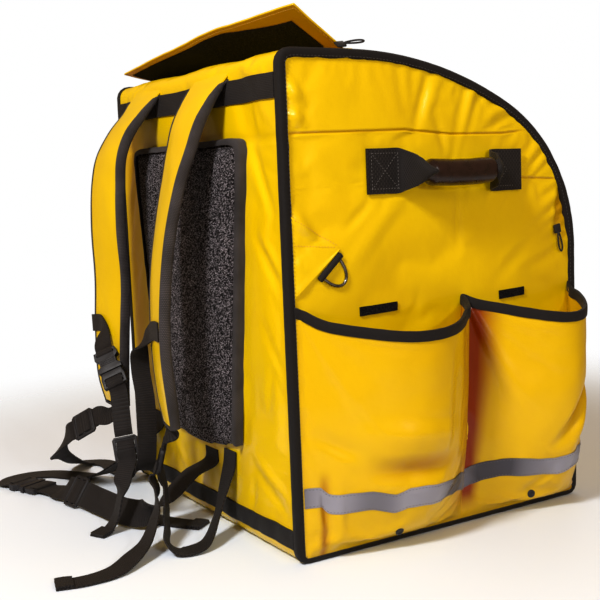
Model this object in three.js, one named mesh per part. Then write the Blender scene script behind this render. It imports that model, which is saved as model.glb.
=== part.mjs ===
// Insulated delivery backpack: a hollow box of padded panels with a curved lid, bellows pockets,
// grab handles, D-rings and a carrying harness whose loose straps lie on the floor.
// Millimetres, +Z up, origin at the middle of the base on the floor. +X is the right-hand side,
// -Y the harness side and +Y the front, below the lid.
import * as THREE from 'three';

// Driving sizes of the bag
const WIDTH = 400;
const DEPTH = 380;
const HEIGHT = 500;
const WALL = 8;
const GAP = 0.3;
const CLOTH = 2;
const WEBBING = 1.8;

// Outline of a side, in Y and Z: flat base, upright front and back, and a lid of two arcs
const HALF_WIDTH = WIDTH / 2;
const HALF_DEPTH = DEPTH / 2;
const BINDING_PROUD = 1.5;
const BINDING_LEG = 8;
const FOOT_RADIUS = 12;
const TOP_RADIUS = 14;
const FOOT_Z = BINDING_PROUD + FOOT_RADIUS;
const LID_START_Y = -110;
const LID_ARC = { y: LID_START_Y, z: 65, radius: HEIGHT - 65 };
const SHOULDER_ARC = { y: 10, z: 290, radius: HALF_DEPTH - 10 };
const ARCS_MEET = THREE.MathUtils.radToDeg(
  Math.atan2(SHOULDER_ARC.z - LID_ARC.z, SHOULDER_ARC.y - LID_ARC.y),
);

// Side panels stand between the bindings, a little crowned
const SIDE_INNER_X = HALF_WIDTH - 7;
const SIDE_OUTER_X = HALF_WIDTH - 1;
const SIDE_INSET = BINDING_LEG + 0.7;
const SIDE_CROWN = 3;
const CROWN_REACH = 90;
const CREASE = { z: 419, depth: 1.5, halfHeight: 9 };
const PANEL_HALF = SIDE_INNER_X - GAP;
const LID_CROWN = 5;

// Materials
const finish = (color, roughness, metalness = 0) =>
  new THREE.MeshStandardMaterial({ color, roughness, metalness });
const YELLOW = finish(0xeeb302, 0.42);
const TAPE = finish(0x241c1b, 0.8);
const WEB = finish(0x1d1817, 0.75);
const MESH = finish(0x1b1a1c, 0.95);
const PLASTIC = finish(0x232225, 0.45);
const REFLECTIVE = finish(0x9c98a8, 0.35);
const STEEL = finish(0x4c4948, 0.35, 0.9);
const RUBBER = finish(0x1a1818, 0.6);

const bag = new THREE.Group();

// Adds one named piece to a group
function add(name, geometry, material, group = bag) {
  const mesh = new THREE.Mesh(geometry, material);
  mesh.name = name;
  group.add(mesh);
  return mesh;
}

// The axes of a piece drawn in XY: +Y runs along one direction and +Z faces another
function axes({ along, facing }) {
  const y = new THREE.Vector3(...along).normalize();
  const z = new THREE.Vector3(...facing);
  z.addScaledVector(y, -z.dot(y)).normalize();
  return { x: y.clone().cross(z), y, z };
}

// Seats such a piece at its place
function seat(mesh, place) {
  const { x, y, z } = axes(place);
  mesh.quaternion.setFromRotationMatrix(new THREE.Matrix4().makeBasis(x, y, z));
  mesh.position.set(...place.at);
}

// A closed surface from points and triangles, turned so that it faces outwards
function surface(points, index) {
  let volume = 0;
  for (let k = 0; k < index.length; k += 3) {
    const [a, b, c] = [points[index[k]], points[index[k + 1]], points[index[k + 2]]];
    volume += a.dot(b.clone().cross(c));
  }
  const geometry = new THREE.BufferGeometry();
  geometry.setFromPoints(points);
  geometry.setIndex(volume < 0 ? index.reverse() : index);
  geometry.computeVertexNormals();
  return geometry;
}

// A closed sheet between two grids of points, walled all round its rim
function sheet(columns, rows, outer, inner) {
  const points = [];
  const index = [];
  const stride = columns + 1;
  const layer = stride * (rows + 1);
  const quad = (a, b, c, d) => index.push(a, b, c, a, c, d);
  for (const side of [outer, inner]) {
    for (let j = 0; j <= rows; j++) {
      for (let i = 0; i <= columns; i++) {
        points.push(side(i / columns, j / rows));
      }
    }
  }
  for (let j = 0; j < rows; j++) {
    for (let i = 0; i < columns; i++) {
      const a = j * stride + i;
      quad(a, a + 1, a + stride + 1, a + stride);
      quad(layer + a, layer + a + stride, layer + a + stride + 1, layer + a + 1);
    }
    const first = j * stride;
    const last = first + columns;
    quad(first, first + stride, layer + first + stride, layer + first);
    quad(last, layer + last, layer + last + stride, last + stride);
  }
  for (let i = 0; i < columns; i++) {
    const end = rows * stride + i;
    quad(i, layer + i, layer + i + 1, i + 1);
    quad(end, end + 1, layer + end + 1, layer + end);
  }
  return surface(points, index);
}

// A bar through rings of points, closed on itself or capped at both ends
function bar(rings, closed) {
  const points = rings.flat();
  const index = [];
  const sides = rings[0].length;
  const spans = closed ? rings.length : rings.length - 1;
  for (let r = 0; r < spans; r++) {
    const here = r * sides;
    const next = ((r + 1) % rings.length) * sides;
    for (let s = 0; s < sides; s++) {
      const t = (s + 1) % sides;
      index.push(here + s, here + t, next + t, here + s, next + t, next + s);
    }
  }
  if (!closed) {
    const end = (rings.length - 1) * sides;
    for (let s = 1; s < sides - 1; s++) {
      index.push(0, s + 1, s, end, end + s, end + s + 1);
    }
  }
  return surface(points, index);
}

// A flat strap along a route whose rows give a point and the direction across the strap
const STEPS_PER_ROW = 3;
function webbing(route, width, thickness = WEBBING) {
  const middle = new THREE.CatmullRomCurve3(route.map((row) => new THREE.Vector3(...row.at)));
  const sides = route.map((row) => new THREE.Vector3(...row.across));
  for (let k = 1; k < sides.length; k++) {
    sides[k].multiplyScalar(Math.sign(sides[k].dot(sides[k - 1])) || 1);
  }
  const across = new THREE.CatmullRomCurve3(sides);
  const steps = (route.length - 1) * STEPS_PER_ROW;
  const place = (lift) => (u, v) => {
    const tangent = middle.getTangent(v);
    const side = across.getPoint(v);
    side.addScaledVector(tangent, -side.dot(tangent)).normalize();
    const face = side.clone().cross(tangent);
    return middle.getPoint(v).addScaledVector(side, (u - 0.5) * width).addScaledVector(face, lift);
  };
  return sheet(1, steps, place(thickness / 2), place(-thickness / 2));
}

// Rows that lead webbing straight out of the end of a piece of hardware
const LEADS = [0.6, 7];
function leads(place, end) {
  const { x, y } = axes(place);
  return LEADS.map((clear) => {
    const at = new THREE.Vector3(...place.at).addScaledVector(y, end + Math.sign(end) * clear);
    return { at: at.toArray(), across: x.toArray() };
  });
}

// Rows that lead a tail off the face of an adjuster, or off its back
const FACE_LEADS = [-2, -12];
const FACE_LIFT = 3.2;
function faceLeads(place, side) {
  const { x, y, z } = axes(place);
  return FACE_LEADS.map((shift) => {
    const at = new THREE.Vector3(...place.at).addScaledVector(y, shift);
    at.addScaledVector(z, side * FACE_LIFT);
    return { at: at.toArray(), across: x.toArray() };
  });
}

// A flat plate of a shape with holes, centred on its own thickness
function plate(shape, thickness) {
  const options = { depth: thickness, bevelEnabled: false, curveSegments: 4 };
  return new THREE.ExtrudeGeometry(shape, options).translate(0, 0, -thickness / 2);
}

// A rectangle with cut corners, centred on a point
function cutRectangle(width, length, corner, middleY = 0) {
  const [w, l] = [width / 2, length / 2];
  const outline = [
    [-w + corner, -l], [w - corner, -l], [w, -l + corner], [w, l - corner],
    [w - corner, l], [-w + corner, l], [-w, l - corner], [-w, -l + corner],
  ];
  return outline.map(([x, y]) => new THREE.Vector2(x, y + middleY));
}

// Stations along the outline: a point and its outward direction
function arcStations(arc, from, to, steps) {
  const stations = [];
  for (let k = 0; k <= steps; k++) {
    const angle = THREE.MathUtils.degToRad(from + ((to - from) * k) / steps);
    const [ny, nz] = [Math.cos(angle), Math.sin(angle)];
    stations.push({ y: arc.y + arc.radius * ny, z: arc.z + arc.radius * nz, ny, nz });
  }
  return stations;
}
const frontFoot = { y: HALF_DEPTH - FOOT_RADIUS, z: FOOT_Z, radius: FOOT_RADIUS };
const rearFoot = { y: -frontFoot.y, z: FOOT_Z, radius: FOOT_RADIUS };
const topRear = { y: TOP_RADIUS - HALF_DEPTH, z: HEIGHT - TOP_RADIUS, radius: TOP_RADIUS };
const shoulder = arcStations(SHOULDER_ARC, 0, ARCS_MEET, 9);
const LID_STEPS = 6;
const lidCurve = arcStations(LID_ARC, ARCS_MEET, 90, LID_STEPS);

// Where the side panel begins and ends along Y at a height
function sideSpan(z) {
  const chord = (arc, radius) => Math.sqrt(Math.max(0, radius ** 2 - (z - arc.z) ** 2));
  const foot = FOOT_RADIUS - SIDE_INSET;
  let rear = SIDE_INSET - HALF_DEPTH;
  let front = HALF_DEPTH - SIDE_INSET;
  if (z < FOOT_Z) {
    rear = rearFoot.y - chord(rearFoot, foot);
    front = frontFoot.y + chord(frontFoot, foot);
  }
  if (z > topRear.z) {
    rear = topRear.y - chord(topRear, TOP_RADIUS - SIDE_INSET);
  }
  const shoulderRadius = SHOULDER_ARC.radius - SIDE_INSET;
  const meetZ = SHOULDER_ARC.z + shoulderRadius * Math.sin(THREE.MathUtils.degToRad(ARCS_MEET));
  if (z > meetZ) {
    front = LID_ARC.y + chord(LID_ARC, LID_ARC.radius - SIDE_INSET);
  } else if (z > SHOULDER_ARC.z) {
    front = SHOULDER_ARC.y + chord(SHOULDER_ARC, shoulderRadius);
  }
  return { rear, front };
}

// Outer face of the right side panel: crowned away from its edges, with one soft crease
const ease = (t) => THREE.MathUtils.smoothstep(t, 0, 1);
function sideX(y, z) {
  const { rear, front } = sideSpan(z);
  const toEdge = Math.min(y - rear, front - y, z - BINDING_LEG, HEIGHT - BINDING_LEG - z);
  const crease = CREASE.depth * (1 - ease(Math.abs(z - CREASE.z) / CREASE.halfHeight));
  return SIDE_OUTER_X + SIDE_CROWN * ease(toEdge / CROWN_REACH) - crease * ease(toEdge / CREASE.halfHeight);
}

// A padded panel that runs across the bag along a list of stations
function acrossPanel(stations, columns, crown) {
  const rows = stations.length - 1;
  const place = (depth, swell) => (u, v) => {
    const station = stations[Math.round(v * rows)];
    const rise = swell * 4 * u * (1 - u) * Math.sin(Math.PI * v) - depth;
    const x = (2 * u - 1) * PANEL_HALF;
    return new THREE.Vector3(x, station.y + station.ny * rise, station.z + station.nz * rise);
  };
  return sheet(columns, rows, place(0, crown), place(WALL, 0));
}

// Bag body
const FOLD_LEVELS = [CREASE.z - CREASE.halfHeight, CREASE.z, CREASE.z + CREASE.halfHeight];
const foldStations = FOLD_LEVELS.map((z) => {
  const dent = z === CREASE.z ? CREASE.depth : 0;
  return { y: dent - HALF_DEPTH, z, ny: -1, nz: 0 };
});
const backStations = [
  ...arcStations(rearFoot, 270, 180, 3),
  ...foldStations,
  ...arcStations(topRear, 180, 90, 3),
  { y: LID_START_Y - GAP, z: HEIGHT, ny: 0, nz: 1 },
];
add('back_panel', acrossPanel(backStations, 1, 0), YELLOW);

const FRONT_LEVELS = [80, 150, 220, SHOULDER_ARC.z - GAP];
const frontStations = [
  ...arcStations(frontFoot, -90, 0, 3),
  ...FRONT_LEVELS.map((z) => ({ y: HALF_DEPTH, z, ny: 1, nz: 0 })),
];
add('front_panel', acrossPanel(frontStations, 4, LID_CROWN), YELLOW);
add('lid_panel', acrossPanel([...shoulder, ...lidCurve.slice(1)], 4, LID_CROWN), YELLOW);

const baseDepth = 2 * (frontFoot.y - GAP);
const base = new THREE.BoxGeometry(2 * PANEL_HALF, baseDepth, WALL);
add('base_panel', base.translate(0, 0, WALL / 2), YELLOW);

// Sides, drawn once for the right and mirrored for the left
const SIDE_COLUMNS = 8;
const SIDE_LEVELS = [
  BINDING_PROUD + SIDE_INSET, FOOT_Z, 60, 130, 200, 250, SHOULDER_ARC.z, 340, 380,
  ...FOLD_LEVELS, 446, 464, 478, topRear.z, HEIGHT - SIDE_INSET,
];
function sidePanel() {
  const rows = SIDE_LEVELS.length - 1;
  const spot = (u, v) => {
    const z = SIDE_LEVELS[Math.round(v * rows)];
    const { rear, front } = sideSpan(z);
    return { y: THREE.MathUtils.lerp(rear, front, u), z };
  };
  const outer = (u, v) => {
    const { y, z } = spot(u, v);
    return new THREE.Vector3(sideX(y, z), y, z);
  };
  const inner = (u, v) => {
    const { y, z } = spot(u, v);
    return new THREE.Vector3(SIDE_INNER_X, y, z);
  };
  return sheet(SIDE_COLUMNS, rows, outer, inner);
}

// Tape folded over the corner all round a side: leg along the outline, then across the bag
const BINDING_SECTION = [
  { out: -BINDING_LEG, x: SIDE_INNER_X },
  { out: -BINDING_LEG, x: HALF_WIDTH + 0.3 },
  { out: -BINDING_LEG + 1.2, x: HALF_WIDTH + BINDING_PROUD },
  { out: -1, x: HALF_WIDTH + BINDING_PROUD },
  { out: BINDING_PROUD, x: HALF_WIDTH - 1 },
  { out: BINDING_PROUD, x: SIDE_INNER_X },
];
function edgeBinding() {
  const stations = [
    ...arcStations(frontFoot, -90, 0, 3),
    ...shoulder,
    ...lidCurve.slice(1),
    ...arcStations(topRear, 90, 180, 3),
    ...arcStations(rearFoot, 180, 270, 3),
  ];
  const rings = stations.map(({ y, z, ny, nz }) =>
    BINDING_SECTION.map(({ out, x }) => new THREE.Vector3(x, y + ny * out, z + nz * out)));
  return bar(rings, true);
}

// Zip along the lid's edge: a flat tape with its row of teeth standing up
const ZIP_SECTION = [
  { up: 0.5, x: 178 }, { up: 1.4, x: 178 }, { up: 1.4, x: 182 }, { up: 3.2, x: 183 },
  { up: 3.2, x: 187 }, { up: 1.4, x: 188 }, { up: 1.4, x: 192.4 }, { up: 0.5, x: 192.4 },
];
const ZIP_END_ANGLE = 87;
const lidLift = (x, v) => LID_CROWN * (1 - (x / PANEL_HALF) ** 2) * Math.sin(Math.PI * v);
function zipper() {
  const onLid = arcStations(LID_ARC, ARCS_MEET, ZIP_END_ANGLE, LID_STEPS);
  const stations = [...shoulder, ...onLid.slice(1)];
  const rings = stations.map(({ y, z, ny, nz }, k) =>
    ZIP_SECTION.map(({ up, x }) => {
      const out = up + lidLift(ZIP_SECTION[0].x, k / (stations.length - 1));
      return new THREE.Vector3(x, y + ny * out, z + nz * out);
    }));
  return bar(rings, false);
}

// A zip's slider and its pull tab, in one plate with a hole near the end
const PULL = { thickness: 2.4, holeWidth: 3, holeLength: 6, holeCorner: 1, holeY: 25 };
function zipPull() {
  const outline = [
    [-5, 0], [5, 0], [5, 9], [2.5, 11], [3.5, 14], [3.5, 29], [2, 31],
    [-2, 31], [-3.5, 29], [-3.5, 14], [-2.5, 11], [-5, 9],
  ];
  const shape = new THREE.Shape(outline.map(([x, y]) => new THREE.Vector2(x, y)));
  const hole = cutRectangle(PULL.holeWidth, PULL.holeLength, PULL.holeCorner, PULL.holeY);
  shape.holes.push(new THREE.Path(hole));
  return plate(shape, PULL.thickness);
}

// Two bellows pockets from one sheet, sewn down at both ends, the divider and the foot
const POCKETS = [
  { from: -181, to: 21.5, bulge: 62, lean: 1.4, columns: 12 },
  { from: 21.5, to: 181, bulge: 64, lean: 1.7, columns: 10 },
];
const POCKET_ROWS = 7;
const POCKET_FOOT = 10.5;
const RIM = { ends: 250, drop: 24, binding: 10 };
const POCKET_ROUND = { across: 0.65, sag: 3.6, down: 0.6 };
const pocketColumns = POCKETS.flatMap((pocket, k) => {
  const list = [];
  for (let c = k === 0 ? 0 : 1; c <= pocket.columns; c++) {
    const t = c / pocket.columns;
    const swell = Math.sin(Math.PI * t ** pocket.lean) ** POCKET_ROUND.across;
    const y = THREE.MathUtils.lerp(pocket.from, pocket.to, t);
    list.push({ y, reach: c % pocket.columns === 0 ? 0 : pocket.bulge * swell });
  }
  return list;
});
const rimZ = (column) => RIM.ends - (column.reach * RIM.drop) / POCKETS[0].bulge;
const pocketColumn = (u) => pocketColumns[Math.round(u * (pocketColumns.length - 1))];
function pocketX(column, z) {
  const below = THREE.MathUtils.clamp((rimZ(column) - z) / (rimZ(column) - POCKET_FOOT), 0, 1);
  const fullness = (1 - below ** POCKET_ROUND.sag) ** POCKET_ROUND.down;
  return SIDE_OUTER_X + SIDE_CROWN + GAP + CLOTH + column.reach * fullness;
}
function pocketSheet(low, high, proud, thickness, rows) {
  const place = (lift) => (u, v) => {
    const column = pocketColumn(u);
    const z = THREE.MathUtils.lerp(low(column), high(column), v);
    return new THREE.Vector3(pocketX(column, z) + lift, column.y, z);
  };
  return sheet(pocketColumns.length - 1, rows, place(proud), place(proud - thickness));
}

// Reflective stripe round both pockets
const STRIPE = { ends: 54, drop: 4, height: 20, thickness: 0.8, proud: 2.4 };
const stripeZ = (column) => STRIPE.ends - (column.reach * STRIPE.drop) / POCKETS[0].bulge;

// Grab handle: sewn patches at both ends, narrowing into a round grip that stands off the side
const HANDLE = [
  { y: -96, low: 360, high: 405, off: 0.5 },
  { y: -52, low: 360, high: 405, off: 0.5 },
  { y: -45, low: 364, high: 400, off: 9 },
  { y: -40, low: 371, high: 389, off: 21 },
  { y: -35, low: 373.5, high: 386.5, off: 23 },
  { y: 46, low: 373.5, high: 386.5, off: 23 },
  { y: 51, low: 370, high: 388, off: 21 },
  { y: 56, low: 361, high: 397, off: 9 },
  { y: 63, low: 357, high: 401, off: 0.5 },
  { y: 107, low: 357, high: 401, off: 0.5 },
];
const HANDLE_CORE = 3;
const GRIP = { z: 380, off: 24.5, from: -34, to: 45, radius: 12, bore: 7.1, sides: 12 };
const HANDLE_FACE = SIDE_OUTER_X + SIDE_CROWN;
function handleWeb() {
  const rows = HANDLE.length - 1;
  const place = (lift) => (u, v) => {
    const row = HANDLE[Math.round(v * rows)];
    const z = THREE.MathUtils.lerp(row.low, row.high, u);
    return new THREE.Vector3(HANDLE_FACE + row.off + lift, row.y, z);
  };
  return sheet(1, rows, place(HANDLE_CORE), place(0));
}
function handleGrip() {
  const ring = new THREE.Shape();
  ring.absarc(0, 0, GRIP.radius, 0, 2 * Math.PI);
  const bore = new THREE.Path();
  bore.absarc(0, 0, GRIP.bore, 0, 2 * Math.PI);
  ring.holes.push(bore);
  const length = GRIP.to - GRIP.from;
  const options = { depth: length, bevelEnabled: false, curveSegments: GRIP.sides };
  const tube = new THREE.ExtrudeGeometry(ring, options).rotateX(-Math.PI / 2);
  return tube.translate(HANDLE_FACE + GRIP.off, GRIP.from, GRIP.z);
}

// D-ring in a webbing loop on the slanting edge of a triangular tab
const TAB = { rearY: -181, topZ: 343, footZ: 264, tipY: -132, tipZ: 309, thickness: 2.5 };
const TAB_EDGE = new THREE.Vector3(0, TAB.rearY - TAB.tipY, TAB.footZ - TAB.tipZ).normalize();
const TAB_OUT = new THREE.Vector3(0, -TAB_EDGE.z, TAB_EDGE.y);
const TAB_FACE = sideX(TAB.tipY, TAB.tipZ) + GAP;
const RING = { along: 20, halfBar: 13, reach: 23, wire: 1.75, sides: 6, bow: 12, mitre: 0.5 };
const LOOP = { outer: 4.3, bore: 2.5, length: 17, sides: 6 };
const RING_AXIS = new THREE.Vector3(TAB_FACE + LOOP.outer, TAB.tipY, TAB.tipZ)
  .addScaledVector(TAB_EDGE, RING.along)
  .addScaledVector(TAB_OUT, LOOP.outer + GAP);
function ringTab() {
  const shape = new THREE.Shape([
    new THREE.Vector2(TAB.rearY, TAB.footZ),
    new THREE.Vector2(TAB.tipY, TAB.tipZ),
    new THREE.Vector2(TAB.rearY, TAB.topZ),
  ]);
  const options = { depth: TAB.thickness, bevelEnabled: false };
  const solid = new THREE.ExtrudeGeometry(shape, options);
  const turn = new THREE.Matrix4().makeBasis(
    new THREE.Vector3(0, 1, 0), new THREE.Vector3(0, 0, 1), new THREE.Vector3(1, 0, 0));
  return solid.applyMatrix4(turn).translate(TAB_FACE, 0, 0);
}
function ringLoop() {
  const shape = new THREE.Shape();
  shape.absarc(0, 0, LOOP.outer, 0, 2 * Math.PI);
  const bore = new THREE.Path();
  bore.absarc(0, 0, LOOP.bore, 0, 2 * Math.PI);
  shape.holes.push(bore);
  const options = { depth: LOOP.length, bevelEnabled: false, curveSegments: LOOP.sides };
  return new THREE.ExtrudeGeometry(shape, options).translate(0, 0, -LOOP.length / 2);
}
function dRing() {
  const path = [{ along: -RING.halfBar, out: 0 }, { along: RING.halfBar, out: 0 }];
  for (let k = 1; k < RING.bow; k++) {
    const angle = (Math.PI * k) / RING.bow;
    path.push({ along: RING.halfBar * Math.cos(angle), out: RING.reach * Math.sin(angle) });
  }
  const middle = path.map(({ along, out }) =>
    RING_AXIS.clone().addScaledVector(TAB_EDGE, along).addScaledVector(TAB_OUT, out));
  const facing = new THREE.Vector3(1, 0, 0);
  const rings = middle.map((point, k) => {
    const before = middle[(k + middle.length - 1) % middle.length];
    const after = middle[(k + 1) % middle.length];
    const intoCorner = point.clone().sub(before).normalize();
    const tangent = after.clone().sub(point).normalize().add(intoCorner).normalize();
    const outward = tangent.clone().cross(facing);
    const mitre = 1 / Math.max(RING.mitre, tangent.dot(intoCorner));
    return Array.from({ length: RING.sides }, (_, s) => {
      const angle = (2 * Math.PI * (s + 0.5)) / RING.sides;
      return point.clone()
        .addScaledVector(outward, RING.wire * mitre * Math.cos(angle))
        .addScaledVector(facing, RING.wire * Math.sin(angle));
    });
  });
  return bar(rings, true);
}

for (const [side, mirror] of [['right', 1], ['left', -1]]) {
  const group = new THREE.Group();
  group.scale.x = mirror;
  bag.add(group);
  add(`side_panel_${side}`, sidePanel(), YELLOW, group);
  add(`edge_binding_${side}`, edgeBinding(), TAPE, group);
  add(`zipper_${side}`, zipper(), TAPE, group);
  const wallTop = (column) => rimZ(column) - RIM.binding;
  const pocket = pocketSheet(() => POCKET_FOOT, wallTop, 0, CLOTH, POCKET_ROWS);
  add(`pocket_${side}`, pocket, YELLOW, group);
  const bindingFoot = (column) => wallTop(column) + GAP;
  add(`pocket_binding_${side}`, pocketSheet(bindingFoot, rimZ, 1, CLOTH + 1, 1), TAPE, group);
  const stripeTop = (column) => stripeZ(column) + STRIPE.height;
  const stripe = pocketSheet(stripeZ, stripeTop, STRIPE.proud, STRIPE.thickness, 1);
  add(`reflective_stripe_${side}`, stripe, REFLECTIVE, group);
  add(`handle_web_${side}`, handleWeb(), WEB, group);
  add(`handle_grip_${side}`, handleGrip(), RUBBER, group);
  add(`ring_tab_${side}`, ringTab(), YELLOW, group);
  const loop = add(`ring_loop_${side}`, ringLoop(), WEB, group);
  seat(loop, { at: RING_AXIS.toArray(), along: TAB_OUT.toArray(), facing: TAB_EDGE.toArray() });
  add(`d_ring_${side}`, dRing(), STEEL, group);
}

// The zip's two pulls on the right: one on the lid by the flap, one hanging at its lower end
const topPull = add('zip_pull_top', zipPull(), STEEL);
const pullSeat = GAP + PULL.thickness / 2;
const topPullAt = [HALF_WIDTH - 3, -97, HEIGHT + BINDING_PROUD + pullSeat];
seat(topPull, { at: topPullAt, along: [0, -1, 0], facing: [0, 0, 1] });
const FRONT_PULL = { y: 162, z: 316, restY: 150, restZ: 300 };
const frontPull = add('zip_pull_front', zipPull(), STEEL);
const frontPullX = sideX(FRONT_PULL.restY, FRONT_PULL.restZ) + pullSeat;
seat(frontPull, { at: [frontPullX, FRONT_PULL.y, FRONT_PULL.z], along: [0, 0, -1], facing: [1, 0, 0] });

// Flap that closes the lid over the top strip, standing open: its rise along the bag's width
const FLAP = { rootY: LID_START_Y + 12, length: 84, lift: 0.5, thickness: 2.5, rows: 7, columns: 10 };
const FLAP_HALF = { root: 190, free: 199 };
const FLAP_RISE = [
  { x: -200, degrees: 13 }, { x: -100, degrees: 20 }, { x: 0, degrees: 30 },
  { x: 100, degrees: 33 }, { x: 200, degrees: 33 },
];
const FLAP_PATCH = { half: 178, clear: 0.5, thickness: 1.5, start: 0.36, end: 0.86 };
function flapPoint(x, v, lift) {
  const place = ((x + HALF_WIDTH) / WIDTH) * (FLAP_RISE.length - 1);
  const k = Math.min(Math.floor(place), FLAP_RISE.length - 2);
  const degrees = THREE.MathUtils.lerp(FLAP_RISE[k].degrees, FLAP_RISE[k + 1].degrees, place - k);
  const angle = THREE.MathUtils.degToRad(degrees);
  const rootLength = FLAP.rootY - LID_START_Y;
  const run = Math.max(0, v * FLAP.length - rootLength);
  const y = FLAP.rootY - Math.min(rootLength, v * FLAP.length) - run * Math.cos(angle);
  const z = HEIGHT + FLAP.lift + run * Math.sin(angle);
  return run > 0
    ? new THREE.Vector3(x, y + lift * Math.sin(angle), z + lift * Math.cos(angle))
    : new THREE.Vector3(x, y, z + lift);
}
const flapX = (u, v) => (2 * u - 1) * THREE.MathUtils.lerp(FLAP_HALF.root, FLAP_HALF.free, v);
const flapFace = (lift) => (u, v) => flapPoint(flapX(u, v), v, lift);
add('top_flap', sheet(FLAP.columns, FLAP.rows, flapFace(FLAP.thickness), flapFace(0)), YELLOW);
const patchFace = (lift) => (u, v) => {
  const along = THREE.MathUtils.lerp(FLAP_PATCH.start, FLAP_PATCH.end, v);
  return flapPoint((2 * u - 1) * FLAP_PATCH.half, along, lift);
};
const patchUnder = -FLAP_PATCH.clear - FLAP_PATCH.thickness;
add('flap_patch', sheet(FLAP.columns, 2, patchFace(-FLAP_PATCH.clear), patchFace(patchUnder)), MESH);

// Back: bulging mesh pad, webbing band under the straps and the hem tape
const PAD = { half: 135, taper: 42, foot: 88, cornerRise: 14, top: 419, columns: 8, rows: 10 };
const PAD_SWELL = { edge: 9, bulge: 11, round: 0.5 };
function backPad() {
  const place = (full) => (u, v) => {
    const across = 2 * u - 1;
    const x = across * (PAD.half - PAD.taper * (1 - v));
    const z = THREE.MathUtils.lerp(PAD.foot + PAD.cornerRise * across ** 2, PAD.top, v);
    const swell = Math.max(0, Math.sin(Math.PI * u) * Math.sin(Math.PI * v)) ** PAD_SWELL.round;
    const thick = PAD_SWELL.edge + PAD_SWELL.bulge * swell;
    return new THREE.Vector3(x, -HALF_DEPTH - GAP - full * thick, z);
  };
  return sheet(PAD.columns, PAD.rows, place(1), place(0));
}
add('back_pad', backPad(), MESH);
const BAND = { foot: 455, height: 24, thickness: 2 };
const HEM = { foot: 15, height: 19, thickness: 1.2 };
for (const [name, strip, material] of [['yoke_band', BAND, WEB], ['hem_band', HEM, TAPE]]) {
  const solid = new THREE.BoxGeometry(2 * PANEL_HALF, strip.thickness, strip.height);
  const y = -HALF_DEPTH - GAP - strip.thickness / 2;
  add(name, solid.translate(0, y, strip.foot + strip.height / 2), material);
}

// Shoulder straps: height, middle and width, and how far each edge's face stands off the back
const STRAPS = {
  left: [
    { z: 492, x: -103, width: 76, inner: 5.2, outer: 5.2, body: 0.4 },
    { z: 478, x: -104, width: 76, inner: 9, outer: 9, body: 0.5 },
    { z: 462, x: -105, width: 75, inner: 24, outer: 19, body: 0.8 },
    { z: 440, x: -105, width: 74, inner: 44, outer: 38, body: 1 },
    { z: 412, x: -105, width: 74, inner: 57, outer: 55, body: 1 },
    { z: 380, x: -105, width: 73, inner: 61, outer: 63, body: 1 },
    { z: 330, x: -105, width: 72, inner: 63, outer: 67, body: 1 },
    { z: 270, x: -105, width: 70, inner: 61, outer: 67, body: 1 },
    { z: 210, x: -106, width: 66, inner: 66, outer: 71, body: 1 },
    { z: 155, x: -107, width: 58, inner: 67, outer: 72, body: 1 },
    { z: 120, x: -108, width: 46, inner: 63, outer: 66, body: 0.9 },
  ],
  right: [
    { z: 492, x: 62, width: 76, inner: 5.2, outer: 5.2, body: 0.4 },
    { z: 478, x: 62, width: 76, inner: 9, outer: 9, body: 0.5 },
    { z: 462, x: 62, width: 75, inner: 19, outer: 22, body: 0.8 },
    { z: 440, x: 62, width: 74, inner: 31, outer: 37, body: 1 },
    { z: 412, x: 62, width: 74, inner: 39, outer: 49, body: 1 },
    { z: 380, x: 62, width: 72, inner: 47, outer: 62, body: 1 },
    { z: 330, x: 62, width: 68, inner: 59, outer: 75, body: 1 },
    { z: 270, x: 62, width: 62, inner: 69, outer: 83, body: 1 },
    { z: 210, x: 62, width: 56, inner: 72, outer: 85, body: 1 },
    { z: 160, x: 62, width: 50, inner: 70, outer: 80, body: 1 },
    { z: 126, x: 62, width: 42, inner: 66, outer: 75, body: 0.9 },
  ],
};
const STRAP = { thickness: 11, cover: 2.6, rim: 7, rows: 16, crown: 1.5 };

// A strap's face: across in millimetres from its middle, along from 0 to 1, and lift off the face
function strapPoint(table, outwards) {
  const middle = new THREE.CatmullRomCurve3(table.map((row) =>
    new THREE.Vector3(row.x, -HALF_DEPTH - (row.inner + row.outer) / 2, row.z)));
  const across = new THREE.CatmullRomCurve3(table.map((row) =>
    new THREE.Vector3(outwards * row.width, row.inner - row.outer, 0)));
  const body = new THREE.CatmullRomCurve3(table.map((row) =>
    new THREE.Vector3(row.body, row.width, row.z)));
  const frame = (v) => {
    const tangent = middle.getTangent(v);
    const side = across.getPoint(v).normalize();
    const face = side.clone().cross(tangent).multiplyScalar(-outwards).normalize();
    const { x: share, y: width } = body.getPoint(v);
    return { point: middle.getPoint(v), side, face, share, width };
  };
  const point = (s, v, lift) => {
    const at = frame(v);
    return at.point.clone().addScaledVector(at.side, s).addScaledVector(at.face, lift * at.share);
  };
  return { frame, point };
}
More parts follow.
